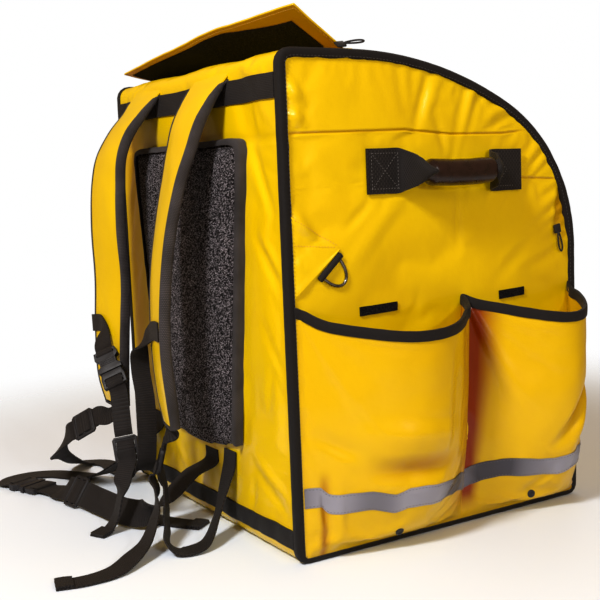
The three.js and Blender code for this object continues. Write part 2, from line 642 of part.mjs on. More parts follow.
function shoulderStrap(name, table, outwards) {
  const { frame, point } = strapPoint(table, outwards);
  const length = table[0].z - table[table.length - 1].z;
  const tip = 1 - (STRAP.rim + GAP) / length;
  const across = (u, v) => (2 * u - 1) * (frame(v).width / 2 - STRAP.rim - GAP);
  const layer = (lift, crown) => (u, v) =>
    point(across(u, v * tip), v * tip, lift + crown * 4 * u * (1 - u));
  const under = -STRAP.cover - GAP * 2;
  const cover = sheet(2, STRAP.rows, layer(0, STRAP.crown), layer(-STRAP.cover, 0));
  add(`strap_cover_${name}`, cover, YELLOW);
  const pad = sheet(2, STRAP.rows, layer(under, 0), layer(-STRAP.thickness, -STRAP.crown));
  add(`strap_pad_${name}`, pad, MESH);
  const edge = [];
  for (let k = 0; k <= STRAP.rows; k++) {
    edge.push({ v: (k / STRAP.rows) * tip, side: -1 });
  }
  const rims = [...edge, { v: 1, side: -1 }, { v: 1, side: 1 },
    ...edge.reverse().map(({ v }) => ({ v, side: 1 }))];
  const rings = rims.map(({ v, side }) => {
    const outside = frame(v).width / 2;
    const inside = outside - STRAP.rim;
    const insideV = v < 1 ? v : tip + GAP / length;
    return [
      point(side * outside, v, -STRAP.thickness), point(side * outside, v, 0),
      point(side * inside, insideV, 0), point(side * inside, insideV, -STRAP.thickness),
    ];
  });
  add(`strap_binding_${name}`, bar(rings, false), TAPE);
}
shoulderStrap('left', STRAPS.left, -1);
shoulderStrap('right', STRAPS.right, 1);

// Where webbing meets the hardware, from the middle of each piece
const SOCKET_END = 29;
const PRONG_END = -18;
const SLIDE_END = 14;
const LOCK_END = 15;

// Hardware: adjusters with two slots, and the two halves of a fastened side-release buckle
const RIM_EACH_SIDE = 4;
const SLOT = { play: 1, height: 3.6, corner: 1 };
const ADJUSTER = { corner: 2.5, slotHeight: 7, slotY: 5.8, thickness: 3.2 };
const BUCKLE = { socketThickness: 8, socketSlotY: 25, prongThickness: 6, prongSlotsY: [-8, -14] };
function adjuster(web, length) {
  const shape = new THREE.Shape(cutRectangle(web + 2 * RIM_EACH_SIDE, length, ADJUSTER.corner));
  for (const y of [-ADJUSTER.slotY, ADJUSTER.slotY]) {
    const slot = cutRectangle(web + SLOT.play, ADJUSTER.slotHeight, SLOT.corner, y);
    shape.holes.push(new THREE.Path(slot));
  }
  return plate(shape, ADJUSTER.thickness);
}
function buckleSocket(web) {
  const w = web / 2 + RIM_EACH_SIDE;
  const outline = [
    [-w, 2], [w, 2], [w, 7], [w - 4, 10], [w - 4, 17], [w, 20], [w - 1, 29], [1 - w, 29],
    [-w, 20], [4 - w, 17], [4 - w, 10], [-w, 7],
  ];
  const shape = new THREE.Shape(outline.map(([x, y]) => new THREE.Vector2(x, y)));
  const slot = cutRectangle(web + SLOT.play, SLOT.height, SLOT.corner, BUCKLE.socketSlotY);
  shape.holes.push(new THREE.Path(slot));
  return plate(shape, BUCKLE.socketThickness);
}
function buckleProng(web) {
  const w = web / 2 + RIM_EACH_SIDE;
  const outline = [[-w, -18], [w, -18], [w, -6], [w - 2, 1.6], [2 - w, 1.6], [-w, -6]];
  const shape = new THREE.Shape(outline.map(([x, y]) => new THREE.Vector2(x, y)));
  for (const y of BUCKLE.prongSlotsY) {
    const slot = cutRectangle(web + SLOT.play, SLOT.height, SLOT.corner, y);
    shape.holes.push(new THREE.Path(slot));
  }
  return plate(shape, BUCKLE.prongThickness);
}

// Chest strap: fastened, hanging as a loop between the shoulder straps
const CHEST_WEB = 20;
const CHEST_BUCKLE = { at: [-62, -272, 168], along: [-0.66, 0, 0.75], facing: [0.84, -0.5, 0.12] };
const CHEST_SLIDE = { at: [-22, -276, 88], along: [-0.3, 0, 0.95], facing: [0.84, -0.5, 0.12] };
const CHEST_TAB_LEFT = [
  { at: [-139, -263.2, 217], across: [0, 0, 1] },
  { at: [-114, -261.8, 218], across: [0.05, 0, 1] },
  { at: [-100, -266, 210], across: [0.35, 0.45, 0.8] },
];
const CHEST_WEB_RIGHT = [
  { at: [-6, -266, 66], across: [0.35, 0.93, 0] },
  { at: [8, -265.5, 78], across: [0.35, 0.93, 0] },
  { at: [14, -265, 104], across: [0.35, 0.93, 0] },
  { at: [18, -266, 147], across: [0.4, 0.92, 0] },
  { at: [16, -269, 183], across: [0.4, 0.9, 0.2] },
  { at: [24, -271, 208], across: [0.1, 0.7, 0.7] },
  { at: [42, -267.4, 223], across: [-0.2, 0.2, 0.96] },
  { at: [62, -270.9, 229], across: [0, 0, 1] },
  { at: [84, -275.2, 230], across: [0, 0, 1] },
];
const CHEST_TAIL = [
  { at: [-6.5, -288, 60], across: [0.6, 0.75, 0.1] },
  { at: [-7.5, -292, 41], across: [0.98, -0.1, 0.1] },
  { at: [-10, -298, 17], across: [1, -0.1, 0] },
  { at: [-12, -306, 4.4], across: [1, 0, 0] },
  { at: [-10, -314, 1.8], across: [0.95, 0.2, 0] },
  { at: [-6, -322, 1.4], across: [0.9, 0.35, 0] },
];
const chestTab = [...CHEST_TAB_LEFT, ...leads(CHEST_BUCKLE, SOCKET_END).reverse()];
add('chest_tab_left', webbing(chestTab, CHEST_WEB), WEB);
const chestSocket = add('chest_socket', buckleSocket(CHEST_WEB), PLASTIC);
seat(chestSocket, CHEST_BUCKLE);
const chestProng = add('chest_prong', buckleProng(CHEST_WEB), PLASTIC);
seat(chestProng, CHEST_BUCKLE);
const chestLink = [...leads(CHEST_BUCKLE, PRONG_END), ...leads(CHEST_SLIDE, SLIDE_END).reverse()];
add('chest_web_left', webbing(chestLink, CHEST_WEB), WEB);
const chestSlide = add('chest_adjuster', adjuster(CHEST_WEB, 2 * SLIDE_END), PLASTIC);
seat(chestSlide, CHEST_SLIDE);
add('chest_web_right', webbing([...leads(CHEST_SLIDE, -SLIDE_END), ...CHEST_WEB_RIGHT], CHEST_WEB), WEB);
add('chest_tail', webbing([...faceLeads(CHEST_SLIDE, 1), ...CHEST_TAIL], CHEST_WEB), WEB);

// Lower ends of the shoulder straps: a tab with its adjuster, and webbing back to the bag's foot
const LOWER_WEB = 25;
const STRAP_END_LEFT = [
  { at: [-109, -250.4, 118.6], across: [1, 0, 0] },
  { at: [-109.5, -251, 113], across: [1, 0, -0.1] },
  { at: [-115, -261, 106], across: [0.85, -0.1, -0.5] },
];
const LOCK_LEFT = { at: [-136, -284, 96], along: [0.6, 0.64, 0.48], facing: [0.5, -0.6, 0.6] };
const LOWER_WEB_LEFT = [
  { at: [-166, -301, 71], across: [0.5, -0.55, -0.6] },
  { at: [-205, -295, 47], across: [0.1, -0.95, -0.3] },
  { at: [-250, -270, 27], across: [-0.5, -0.85, 0] },
  { at: [-284, -243, 8], across: [-0.65, -0.75, 0] },
  { at: [-298, -221, 2], across: [-1, 0, 0] },
  { at: [-282, -207, 1.8], across: [-0.3, 0.95, 0] },
  { at: [-240, -207, 1.8], across: [0, 1, 0] },
  { at: [-204, -207, 10], across: [-0.1, 0.98, 0.1] },
  { at: [-184, -206, 36], across: [-0.7, 0.65, 0.2] },
  { at: [-173, -197, 64], across: [-0.97, 0.2, 0.1] },
  { at: [-171, -192, 82], across: [-1, 0, 0] },
  { at: [-171, -191.6, 100], across: [-1, 0, 0] },
];
const STRAP_END_RIGHT = [
  { at: [61, -256, 124.6], across: [1, -0.15, 0] },
  { at: [60.6, -256.4, 119.5], across: [0.95, 0.2, 0] },
];
const LOCK_RIGHT = { at: [46, -262, 94], along: [0.44, 0, 0.9], facing: [-0.51, -0.85, 0.1] };
const LOWER_WEB_RIGHT = [
  { at: [66, -191.6, 90], across: [1, 0, 0] },
  { at: [66, -193.4, 74], across: [1, 0.02, 0] },
  { at: [70, -203, 52], across: [0.98, -0.15, 0] },
  { at: [82, -220, 25], across: [0.93, -0.36, 0] },
  { at: [96, -240, 7.5], across: [0.93, -0.35, 0] },
  { at: [100, -256, 3], across: [0.97, -0.2, 0] },
  { at: [96, -270, 3], across: [0.95, -0.3, 0] },
  { at: [84, -277, 10], across: [0.85, -0.45, 0.2] },
  { at: [70, -272, 22], across: [0.8, -0.5, 0] },
  { at: [51, -263, 40], across: [0.8, -0.45, -0.2] },
  { at: [38, -258, 56], across: [0.8, -0.4, -0.3] },
];
const LOWER_TAIL_RIGHT = [
  { at: [35, -269, 70], across: [0.77, -0.5, -0.38] },
  { at: [47, -273, 54], across: [0.85, -0.42, -0.25] },
  { at: [62, -281, 36], across: [0.93, -0.2, 0] },
  { at: [77, -298, 17], across: [0.93, 0, 0.2] },
  { at: [93, -321, 8], across: [0.88, 0.45, 0.1] },
  { at: [107, -346, 3], across: [0.93, 0.36, 0] },
  { at: [109, -376, 1.6], across: [0.99, 0.05, 0] },
  { at: [102, -404, 1.4], across: [0.97, -0.24, 0] },
];
const endLeft = [...STRAP_END_LEFT, ...leads(LOCK_LEFT, LOCK_END).reverse()];
add('strap_end_left', webbing(endLeft, LOWER_WEB), WEB);
const endRight = [...STRAP_END_RIGHT, ...leads(LOCK_RIGHT, LOCK_END).reverse()];
add('strap_end_right', webbing(endRight, LOWER_WEB), WEB);
for (const [name, lock] of [['left', LOCK_LEFT], ['right', LOCK_RIGHT]]) {
  const piece = add(`strap_lock_${name}`, adjuster(LOWER_WEB, 2 * LOCK_END), PLASTIC);
  seat(piece, lock);
}
add('lower_web_left', webbing([...leads(LOCK_LEFT, -LOCK_END), ...LOWER_WEB_LEFT], LOWER_WEB), WEB);
const lowerRight = [...LOWER_WEB_RIGHT, ...leads(LOCK_RIGHT, -LOCK_END).reverse()];
add('lower_web_right', webbing(lowerRight, LOWER_WEB), WEB);
add('lower_tail_right', webbing([...faceLeads(LOCK_RIGHT, 1), ...LOWER_TAIL_RIGHT], LOWER_WEB), WEB);

// Waist strap: fastened in front of the bag, its webbing leaning and lying on the floor
const WAIST_WEB = 30;
const WAIST_SLIDE = { at: [-131, -300, 17], along: [-0.97, -0.2, 0], facing: [0.1, -0.8, 0.6] };
const WAIST_BUCKLE = { at: [-226, -322, 5], along: [-0.91, -0.41, 0], facing: [0, 0, 1] };
const WAIST_WEB_RIGHT = [
  { at: [22, -191.6, 84], across: [1, 0, 0] },
  { at: [22, -193, 70], across: [1, 0, 0] },
  { at: [18, -217, 58], across: [0.95, 0.2, 0.1] },
  { at: [14, -246, 34], across: [0.75, 0.45, 0.4] },
  { at: [4, -268, 20], across: [0.4, 0.5, 0.75] },
  { at: [-24, -281, 16.4], across: [0.1, 0.55, 0.83] },
  { at: [-70, -289, 16], across: [0, 0.55, 0.83] },
];
const WAIST_LINK = [
  { at: [-168, -306, 11], across: [-0.15, 0.85, 0.5] },
  { at: [-184, -304.6, 6.4], across: [-0.3, 0.93, 0.15] },
];
const WAIST_WEB_LEFT = [
  { at: [-268, -341, 2.4], across: [-0.1, 1, 0] },
  { at: [-285, -333, 1.6], across: [0.7, 0.7, 0] },
  { at: [-289, -306, 1.6], across: [1, -0.1, 0] },
  { at: [-276, -281, 1.6], across: [0.75, -0.66, 0] },
  { at: [-250, -261, 1.8], across: [0.45, -0.9, 0] },
  { at: [-212, -244, 8], across: [0.35, -0.92, 0.1] },
  { at: [-160, -228, 36], across: [0.5, -0.8, 0.1] },
  { at: [-131, -207, 68], across: [0.9, -0.35, 0.05] },
  { at: [-122, -193, 86], across: [1, 0, 0] },
  { at: [-121, -191.6, 100], across: [1, 0, 0] },
];
const WAIST_TAIL = [
  { at: [-112, -291, 12.6], across: [-0.12, 0.62, 0.78] },
  { at: [-101, -281, 8], across: [-0.2, 0.85, 0.4] },
  { at: [-86, -270, 3.4], across: [-0.35, 0.93, 0.08] },
  { at: [-50, -257, 1.6], across: [-0.35, 0.93, 0] },
  { at: [-4, -240, 1.6], across: [-0.45, 0.9, 0] },
  { at: [36, -213, 1.6], across: [-0.6, 0.8, 0] },
];
const waistRight = [...WAIST_WEB_RIGHT, ...leads(WAIST_SLIDE, -SLIDE_END).reverse()];
add('waist_web_right', webbing(waistRight, WAIST_WEB), WEB);
const waistSlide = add('waist_adjuster', adjuster(WAIST_WEB, 2 * SLIDE_END), PLASTIC);
seat(waistSlide, WAIST_SLIDE);
const waistLink = [
  ...leads(WAIST_SLIDE, SLIDE_END), ...WAIST_LINK, ...leads(WAIST_BUCKLE, PRONG_END).reverse(),
];
add('waist_link', webbing(waistLink, WAIST_WEB), WEB);
const waistSocket = add('waist_socket', buckleSocket(WAIST_WEB), PLASTIC);
seat(waistSocket, WAIST_BUCKLE);
const waistProng = add('waist_prong', buckleProng(WAIST_WEB), PLASTIC);
seat(waistProng, WAIST_BUCKLE);
add('waist_web_left', webbing([...leads(WAIST_BUCKLE, SOCKET_END), ...WAIST_WEB_LEFT], WAIST_WEB), WEB);
add('waist_tail', webbing([...faceLeads(WAIST_SLIDE, -1), ...WAIST_TAIL], LOWER_WEB), WEB);

export default bag;
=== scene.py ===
# %% [markdown]
# # Dressing an insulated delivery backpack
# The real bag is a box of coated yellow cloth over foam, edged with black tape, with bellows pockets on its
# sides and a harness of padded straps and webbing. The CAD solids fix every size and place. Here each soft
# solid is hidden and a sewn, wrinkled piece of cloth takes its place, so we start by loading that frame.

# %% Load the frame
import math

import bpy
import numpy as np
from mathutils import Matrix, Vector, noise
from mathutils.bvhtree import BVHTree


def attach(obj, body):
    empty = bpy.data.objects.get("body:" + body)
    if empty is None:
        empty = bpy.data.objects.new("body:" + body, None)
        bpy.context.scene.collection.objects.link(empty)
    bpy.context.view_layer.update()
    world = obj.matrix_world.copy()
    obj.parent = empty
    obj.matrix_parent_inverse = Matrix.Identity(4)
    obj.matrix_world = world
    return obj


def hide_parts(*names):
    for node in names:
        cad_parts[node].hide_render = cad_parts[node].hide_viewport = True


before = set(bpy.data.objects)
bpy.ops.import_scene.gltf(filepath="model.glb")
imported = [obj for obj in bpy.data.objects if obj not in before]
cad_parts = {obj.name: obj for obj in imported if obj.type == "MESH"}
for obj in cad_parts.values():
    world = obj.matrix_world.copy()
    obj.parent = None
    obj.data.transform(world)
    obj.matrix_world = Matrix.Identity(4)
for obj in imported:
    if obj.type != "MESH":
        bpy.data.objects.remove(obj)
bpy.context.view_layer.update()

MM = 0.001
bpy.ops.object.select_all(action="DESELECT")

# %% [markdown]
# ## Camera, floor and light
# The photograph was taken from a little above the pockets, turned well round to the right-hand side. The
# camera is placed from its own measured numbers, so that edges fall where the photograph has them.

# %% Camera
CAMERA = {"at": (1.0422, -0.6851, 0.3797), "azimuth": 58.87, "elevation": 6.77, "roll": -2.36, "lens": 61.94}
bpy.ops.object.camera_add()
camera = bpy.context.object
camera.name = "photo_camera"
camera.data.lens = CAMERA["lens"]
camera.data.sensor_width = 36
azimuth, elevation, roll = (math.radians(CAMERA[key]) for key in ("azimuth", "elevation", "roll"))
level = math.cos(elevation)
backwards = Vector((math.sin(azimuth) * level, -math.cos(azimuth) * level, math.sin(elevation)))
rightwards = (-backwards).cross(Vector((0, 0, 1))).normalized()
upwards = rightwards.cross(-backwards)
leaning_right = rightwards * math.cos(roll) + upwards * math.sin(roll)
leaning_up = upwards * math.cos(roll) - rightwards * math.sin(roll)
turn = Matrix((leaning_right, leaning_up, backwards)).transposed().to_4x4()
camera.matrix_world = Matrix.Translation(CAMERA["at"]) @ turn
bpy.context.scene.camera = camera
print("camera at", CAMERA["at"])

# %% [markdown]
# A pale floor and a soft surrounding light stand in for the white studio. The light is a little warm,
# because the real bag's own yellow fills its shadows. The floor fades out a little way off, so no horizon
# shows. The main lamp hangs outside the right-hand strap, because both straps throw their shadows to the
# left on the back. A weak lamp rakes along the side and makes its folds show, a small one puts glints on
# the coating, and one behind the bag lights its far edges. The plain view transform keeps the yellow as
# strong as it is.

# %% Floor
bpy.context.scene.view_settings.view_transform = "Standard"
bpy.context.scene.view_settings.gamma = 0.8
bpy.ops.mesh.primitive_circle_add(vertices=96, radius=3, fill_type="NGON")
floor = bpy.context.object
floor.name = "studio_floor"
floor_paint = bpy.data.materials.new("pale floor")
floor_paint.use_nodes = True
floor_nodes = floor_paint.node_tree
floor_shader = floor_nodes.nodes["Principled BSDF"].inputs
floor_shader["Base Color"].default_value = (0.79, 0.85, 0.94, 1)
floor_shader["Roughness"].default_value = 0.9
floor_shader["Specular IOR Level"].default_value = 0.1
from_middle = floor_nodes.nodes.new("ShaderNodeVectorMath")
from_middle.operation = "LENGTH"
fade = floor_nodes.nodes.new("ShaderNodeMapRange")
fade.interpolation_type = "SMOOTHSTEP"
for socket, value in {"From Min": 0.45, "From Max": 1.05, "To Min": 1.0, "To Max": 0.0}.items():
    fade.inputs[socket].default_value = value
floor_spot = floor_nodes.nodes.new("ShaderNodeTexCoord")
floor_nodes.links.new(floor_spot.outputs["Object"], from_middle.inputs[0])
floor_nodes.links.new(from_middle.outputs["Value"], fade.inputs["Value"])
floor_nodes.links.new(fade.outputs["Result"], floor_shader["Alpha"])
floor.data.materials.append(floor_paint)
print("floor:", floor.name)

# %% Surround
SURROUND = {"seen": 1.0, "lighting": 0.42, "warm": (1.0, 0.68, 0.36, 1), "white": (1, 1, 1, 1)}
surround = bpy.data.worlds.new("pale surround")
surround.use_nodes = True
sky = surround.node_tree
ray = sky.nodes.new("ShaderNodeLightPath")
strength = sky.nodes.new("ShaderNodeMix")
strength.inputs[2].default_value = SURROUND["lighting"]
strength.inputs[3].default_value = SURROUND["seen"]
sky.links.new(ray.outputs["Is Camera Ray"], strength.inputs[0])
sky.links.new(strength.outputs[0], sky.nodes["Background"].inputs["Strength"])
tint = sky.nodes.new("ShaderNodeMix")
tint.data_type = "RGBA"
tint.inputs[6].default_value = SURROUND["warm"]
tint.inputs[7].default_value = SURROUND["white"]
sky.links.new(ray.outputs["Is Camera Ray"], tint.inputs[0])
sky.links.new(tint.outputs[2], sky.nodes["Background"].inputs["Color"])
bpy.context.scene.world = surround
print("surround:", surround.name)

# %% Lamps
LAMPS = {
    "main": {"at": (0.75, -1.45, 1.5), "size": 0.35, "power": 38},
    "side": {"at": (1.8, -0.3, 1.2), "size": 0.5, "power": 5},
    "behind": {"at": (-1.2, 1.3, 1.6), "size": 1.4, "power": 10},
    "glint": {"at": (1.9, -0.35, 0.62), "size": 0.12, "power": 6.5},
}
for lamp_name, lamp in LAMPS.items():
    bpy.ops.object.light_add(type="AREA", location=lamp["at"])
    light = bpy.context.object
    light.name = f"{lamp_name}_lamp"
    light.data.size = lamp["size"]
    light.data.energy = lamp["power"]
    aim = Vector((0, -0.05, 0.25)) - Vector(lamp["at"])
    light.rotation_euler = aim.to_track_quat("-Z", "Y").to_euler()
print("lamps:", ", ".join(LAMPS))

# %% [markdown]
# ## Tools of the workshop
# Nearly all of this bag is cut from flat stuff: cloth, tape and webbing. So one tool does most of the work.
# It adds a grid, sends each of its points to a place in millimetres, and scales the grid's own UV map to
# metres, so that a weave drawn on it later has its true size. The other helpers run edit-mode operators,
# apply modifiers and dress a finished piece.

# %% Numbers
SIDES = {"right": 1, "left": -1}


def lerp(a, b, t):
    return a + (b - a) * t


def ease(t):
    t = min(max(t, 0.0), 1.0)
    return t * t * (3 - 2 * t)


def near(value, centre, reach):
    return 1 - ease(abs(value - centre) / reach)


def hump(t):
    """Rises from 0 to 1 and falls back to 0."""
    return math.sin(math.pi * t)


def whole_turn(share, steps):
    """The angle at a share of a full turn of even steps, the last of which meets the first."""
    return 2 * math.pi * (round(share * steps) % steps) / steps


def ripple(x, y, z, size):
    return noise.noise(Vector((x, y, z)) / size)


def unit(vector):
    vector = np.asarray(vector, float)
    return vector / np.linalg.norm(vector)


def distances(points):
    """How far along a line of points each of them lies."""
    gaps = np.linalg.norm(np.diff(np.asarray(points, float), axis=0), axis=1)
    return np.concatenate([[0], np.cumsum(gaps)])


print("a ripple, for example:", round(ripple(30, 10, 5, 70), 4))


# %% Edit a piece, use a modifier
def choose(piece):
    bpy.ops.object.select_all(action="DESELECT")
    piece.select_set(True)
    bpy.context.view_layer.objects.active = piece


def edit(piece, *steps):
    """Runs edit-mode operators on a piece, with all of it selected at the start."""
    choose(piece)
    bpy.ops.object.mode_set(mode="EDIT")
    bpy.ops.mesh.select_mode(type="VERT")
    bpy.ops.mesh.select_all(action="SELECT")
    for step in steps:
        step()
    bpy.ops.object.mode_set(mode="OBJECT")


def use_modifier(piece, kind, **settings):
    choose(piece)
    modifier = piece.modifiers.new(kind.title(), kind)
    for key, value in settings.items():
        setattr(modifier, key, value)
    bpy.ops.object.modifier_apply(modifier=modifier.name)


def thicken(piece, thickness, offset=-1):
    """Gives a sheet its thickness in millimetres, behind its face or on both sides of it."""
    use_modifier(piece, "SOLIDIFY", thickness=thickness * MM, offset=offset)


def stretch(piece, size):
    """Scales a new primitive to a size in millimetres."""
    piece.scale = np.array(size, float) * MM
    bpy.ops.object.transform_apply(location=False, rotation=False, scale=True)
    return piece


def new_block(size):
    """A box of a size in millimetres at the origin, to be shaped further."""
    bpy.ops.object.select_all(action="DESELECT")
    bpy.ops.mesh.primitive_cube_add(size=1)
    return stretch(bpy.context.object, size)


def points_of(piece):
    flat = np.empty(len(piece.data.vertices) * 3)
    piece.data.vertices.foreach_get("co", flat)
    return flat.reshape(-1, 3)


def move_points(piece, points):
    piece.data.vertices.foreach_set("co", np.asarray(points, float).ravel())
    piece.data.update()


print("edit tools ready")


# %% The grid tool
def grid_piece(name, columns, rows, place, facing=None):
    """A grid whose points go where place(u, v) says, in millimetres, facing a direction."""
    bpy.ops.object.select_all(action="DESELECT")
    bpy.ops.mesh.primitive_grid_add(x_subdivisions=columns, y_subdivisions=rows, size=2)
    piece = bpy.context.object
    piece.name = piece.data.name = name
    shares = (points_of(piece)[:, :2] + 1) / 2
    spots = np.array([place(u, v) for u, v in shares]) * MM
    move_points(piece, spots)
    across = len(np.unique(np.round(shares[:, 0], 6)))
    lattice = spots.reshape(-1, across, 3)
    width = distances(lattice[len(lattice) // 2])[-1]
    length = distances(lattice[:, across // 2])[-1]
    layer = piece.data.uv_layers.active.data
    flat = np.empty(len(layer) * 2)
    layer.foreach_get("uv", flat)
    layer.foreach_set("uv", (flat.reshape(-1, 2) * (width, length)).ravel())
    if facing is not None:
        normals = sum((p.normal * p.area for p in piece.data.polygons), Vector())
        if normals.dot(Vector(facing)) < 0:
            edit(piece, bpy.ops.mesh.flip_normals)
    return piece


def lattice_of(piece, columns):
    """The piece's points in rows, as the grid tool made them."""
    return points_of(piece).reshape(-1, columns + 1, 3)


def rolled_piece(name, columns, rows, place):
    """A grid that is rolled up, welded along its seams and closed at its ends."""
    piece = grid_piece(name, columns, rows, place)
    edit(
        piece,
        lambda: bpy.ops.mesh.remove_doubles(threshold=0.00002),
        lambda: bpy.ops.mesh.select_all(action="SELECT"),
        lambda: bpy.ops.mesh.fill_holes(sides=0),
        lambda: bpy.ops.mesh.select_all(action="SELECT"),
        lambda: bpy.ops.mesh.normals_make_consistent(inside=False),
    )
    return piece


print("grid tool ready")


# %% Find, cut away and dress
def cloth_under(piece):
    """Finds where a line of sight meets a settled piece, in millimetres."""
    corners = [v.co for v in piece.data.vertices]
    tree = BVHTree.FromPolygons(corners, [p.vertices for p in piece.data.polygons])

    def meet(start, way):
        return np.array(tree.ray_cast(Vector(start) * MM, Vector(way))[0]) / MM

    return meet


def keep_points(piece, keep):
    """Deletes every point that isn't kept."""
    piece.data.polygons.foreach_set("select", [False] * len(piece.data.polygons))
    piece.data.edges.foreach_set("select", [False] * len(piece.data.edges))
    choose(piece)
    bpy.ops.object.mode_set(mode="EDIT")
    bpy.ops.mesh.select_mode(type="VERT")
    bpy.ops.mesh.select_all(action="DESELECT")
    bpy.ops.object.mode_set(mode="OBJECT")
    piece.data.vertices.foreach_set("select", [not k for k in keep])
    bpy.ops.object.mode_set(mode="EDIT")
    bpy.ops.mesh.delete(type="VERT")
    bpy.ops.object.mode_set(mode="OBJECT")


def dress(piece, finish, slot, *nodes, body="bag", angle=45):
    """Smooths a finished piece, gives it its finish and lets it stand for its CAD nodes."""
    choose(piece)
    bpy.ops.object.shade_smooth_by_angle(angle=math.radians(angle))
    piece.data.materials.clear()
    piece.data.materials.append(finish)
    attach(piece, body)
    if nodes:
        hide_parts(*nodes)
    print(f"{piece.name}: {len(piece.data.polygons)} faces")
    return piece


print("dressing tools ready")


# %% [markdown]
# Padded cloth is never as even as a formula. The settling tool pins the points that are sewn down, lets
# Blender's cloth swell and slacken for a few frames, then limits how far any point went, so that a piece
# stays in the space that its solid holds.

# %% Settle a piece of cloth
def settle(piece, sewn, pressure, slack=0.0, gravity=0.0, frames=14, cap=4.0, stiffness=12.0):
    choose(piece)
    before = points_of(piece)
    group = piece.vertex_groups.new(name="sewn")
    group.add([int(i) for i in np.flatnonzero(sewn)], 1.0, "REPLACE")
    cloth = piece.modifiers.new("Settle", "CLOTH")
    cloth.settings.quality = 4
    cloth.settings.mass = 0.3
    cloth.settings.tension_stiffness = stiffness
    cloth.settings.compression_stiffness = stiffness
    cloth.settings.shear_stiffness = stiffness / 2
    cloth.settings.bending_stiffness = 1.5
    cloth.settings.vertex_group_mass = group.name
    cloth.settings.use_pressure = True
    cloth.settings.uniform_pressure_force = pressure
    cloth.settings.shrink_min = -slack
    cloth.settings.effector_weights.gravity = gravity
    cloth.point_cache.frame_start = 1
    cloth.point_cache.frame_end = frames
    for number in range(1, frames + 1):
        bpy.context.scene.frame_set(number)
    bpy.ops.object.modifier_apply(modifier=cloth.name)
    bpy.context.scene.frame_set(1)
    moved = points_of(piece) - before
    length = np.linalg.norm(moved, axis=1, keepdims=True)
    limit = cap * MM
    shorter = np.where(length > 1e-9, limit * np.tanh(length / limit) / np.maximum(length, 1e-9), 0)
    move_points(piece, before + moved * shorter)
    piece.vertex_groups.clear()
    print(f"{piece.name}: settled by up to {length.max() / MM:.1f} mm, kept within {cap} mm")


print("cloth is", "settled")

# %% [markdown]
# A strap's route is a smooth curve through a few points, the same curve that the CAD solids follow. This
# helper gives the point at any share of the way, and the strap tool lays a ribbon of grid along it.

# %% Routes and ribbons
def spline(points):
    """A centripetal Catmull-Rom curve through points: share of the way to place."""
    knots = [np.asarray(p, float) for p in points]
    knots = [2 * knots[0] - knots[1], *knots, 2 * knots[-1] - knots[-2]]
    spans = len(knots) - 3

    def at(t):
        k = min(int(t * spans), spans - 1)
        w = t * spans - k
        a, b, c, d = knots[k:k + 4]
        one, two, three = (max(np.linalg.norm(q - p), 1e-9) ** 0.5 for p, q in ((a, b), (b, c), (c, d)))
        start = ((b - a) / one - (c - a) / (one + two) + (c - b) / two) * two
        end = ((c - b) / two - (d - b) / (two + three) + (d - c) / three) * two
        cubic = 2 * b - 2 * c + start + end
        square = 3 * c - 3 * b - 2 * start - end
        return b + w * (start + w * (square + w * cubic))

    return at


def heading(curve, t):
    step = 1e-4
    return unit(curve(min(1, t + step)) - curve(max(0, t - step)))


def ribbon(name, route, width, thickness=1.8, columns=6):
    """Webbing along a route of rows: a point, and the direction across the webbing."""
    middle = spline([at for at, across in route])
    sides = [np.asarray(route[0][1], float)]
    for at, across in route[1:]:
        across = np.asarray(across, float)
        sides.append(across if across @ sides[-1] >= 0 else -across)
    across_at = spline(sides)

    def place(u, v):
        along = heading(middle, v)
        side = across_at(v)
        side = unit(side - along * (side @ along))
        return middle(v) + side * (u - 0.5) * width

    rows = 12 * (len(route) - 1)
    piece = grid_piece(name, columns, rows, place)
    thicken(piece, thickness, offset=0)
    return piece


print("half way along a test route:", spline([(0, 0, 0), (10, 0, 0), (20, 10, 0)])(0.5))

# %% [markdown]
# ## Finishes
# Every finish shares a few effects: a woven rib, the grain of coated cloth, and dust that gathers at the
# foot. Each effect is a shader node group with named sockets, built once. A small helper adds a node and
# wires it.

# %% Wiring helper
def feed(tree, socket, value):
    """Links a socket to another one, or sets it to a value."""
    if isinstance(value, bpy.types.NodeSocket):
        tree.links.new(value, socket)
    else:
        socket.default_value = value


def wire(tree, kind, settings=None, **inputs):
    """Adds a shader node, with settings and inputs: numbers are set, sockets are linked."""
    node = tree.nodes.new("ShaderNode" + kind)
    for key, value in (settings or {}).items():
        setattr(node, key, value)
    for key, value in inputs.items():
        socket = node.inputs[int(key[1:])] if key[1:].isdigit() else node.inputs[key.replace("_", " ")]
        feed(tree, socket, value)
    return node


def sums(tree, operation, a, b=0.0, c=0.0):
    return wire(tree, "Math", {"operation": operation}, _0=a, _1=b, _2=c).outputs[0]


def clouds(tree, vector, scale, detail):
    return wire(tree, "TexNoise", Vector=vector, Scale=scale, Detail=detail).outputs["Fac"]


def spread(tree, value, low, high):
    """A value stretched until low becomes 0 and high becomes 1."""
    return wire(tree, "MapRange", {"clamp": True}, Value=value, From_Min=low, From_Max=high).outputs[0]


def effect_group(name, inputs, outputs):
    tree = bpy.data.node_groups.new(name, "ShaderNodeTree")
    for label, kind in inputs.items():
        tree.interface.new_socket(name=label, in_out="INPUT", socket_type="NodeSocket" + kind)
    for label, kind in outputs.items():
        tree.interface.new_socket(name=label, in_out="OUTPUT", socket_type="NodeSocket" + kind)
    return tree, tree.nodes.new("NodeGroupInput").outputs, tree.nodes.new("NodeGroupOutput").inputs


print("wiring tools ready")

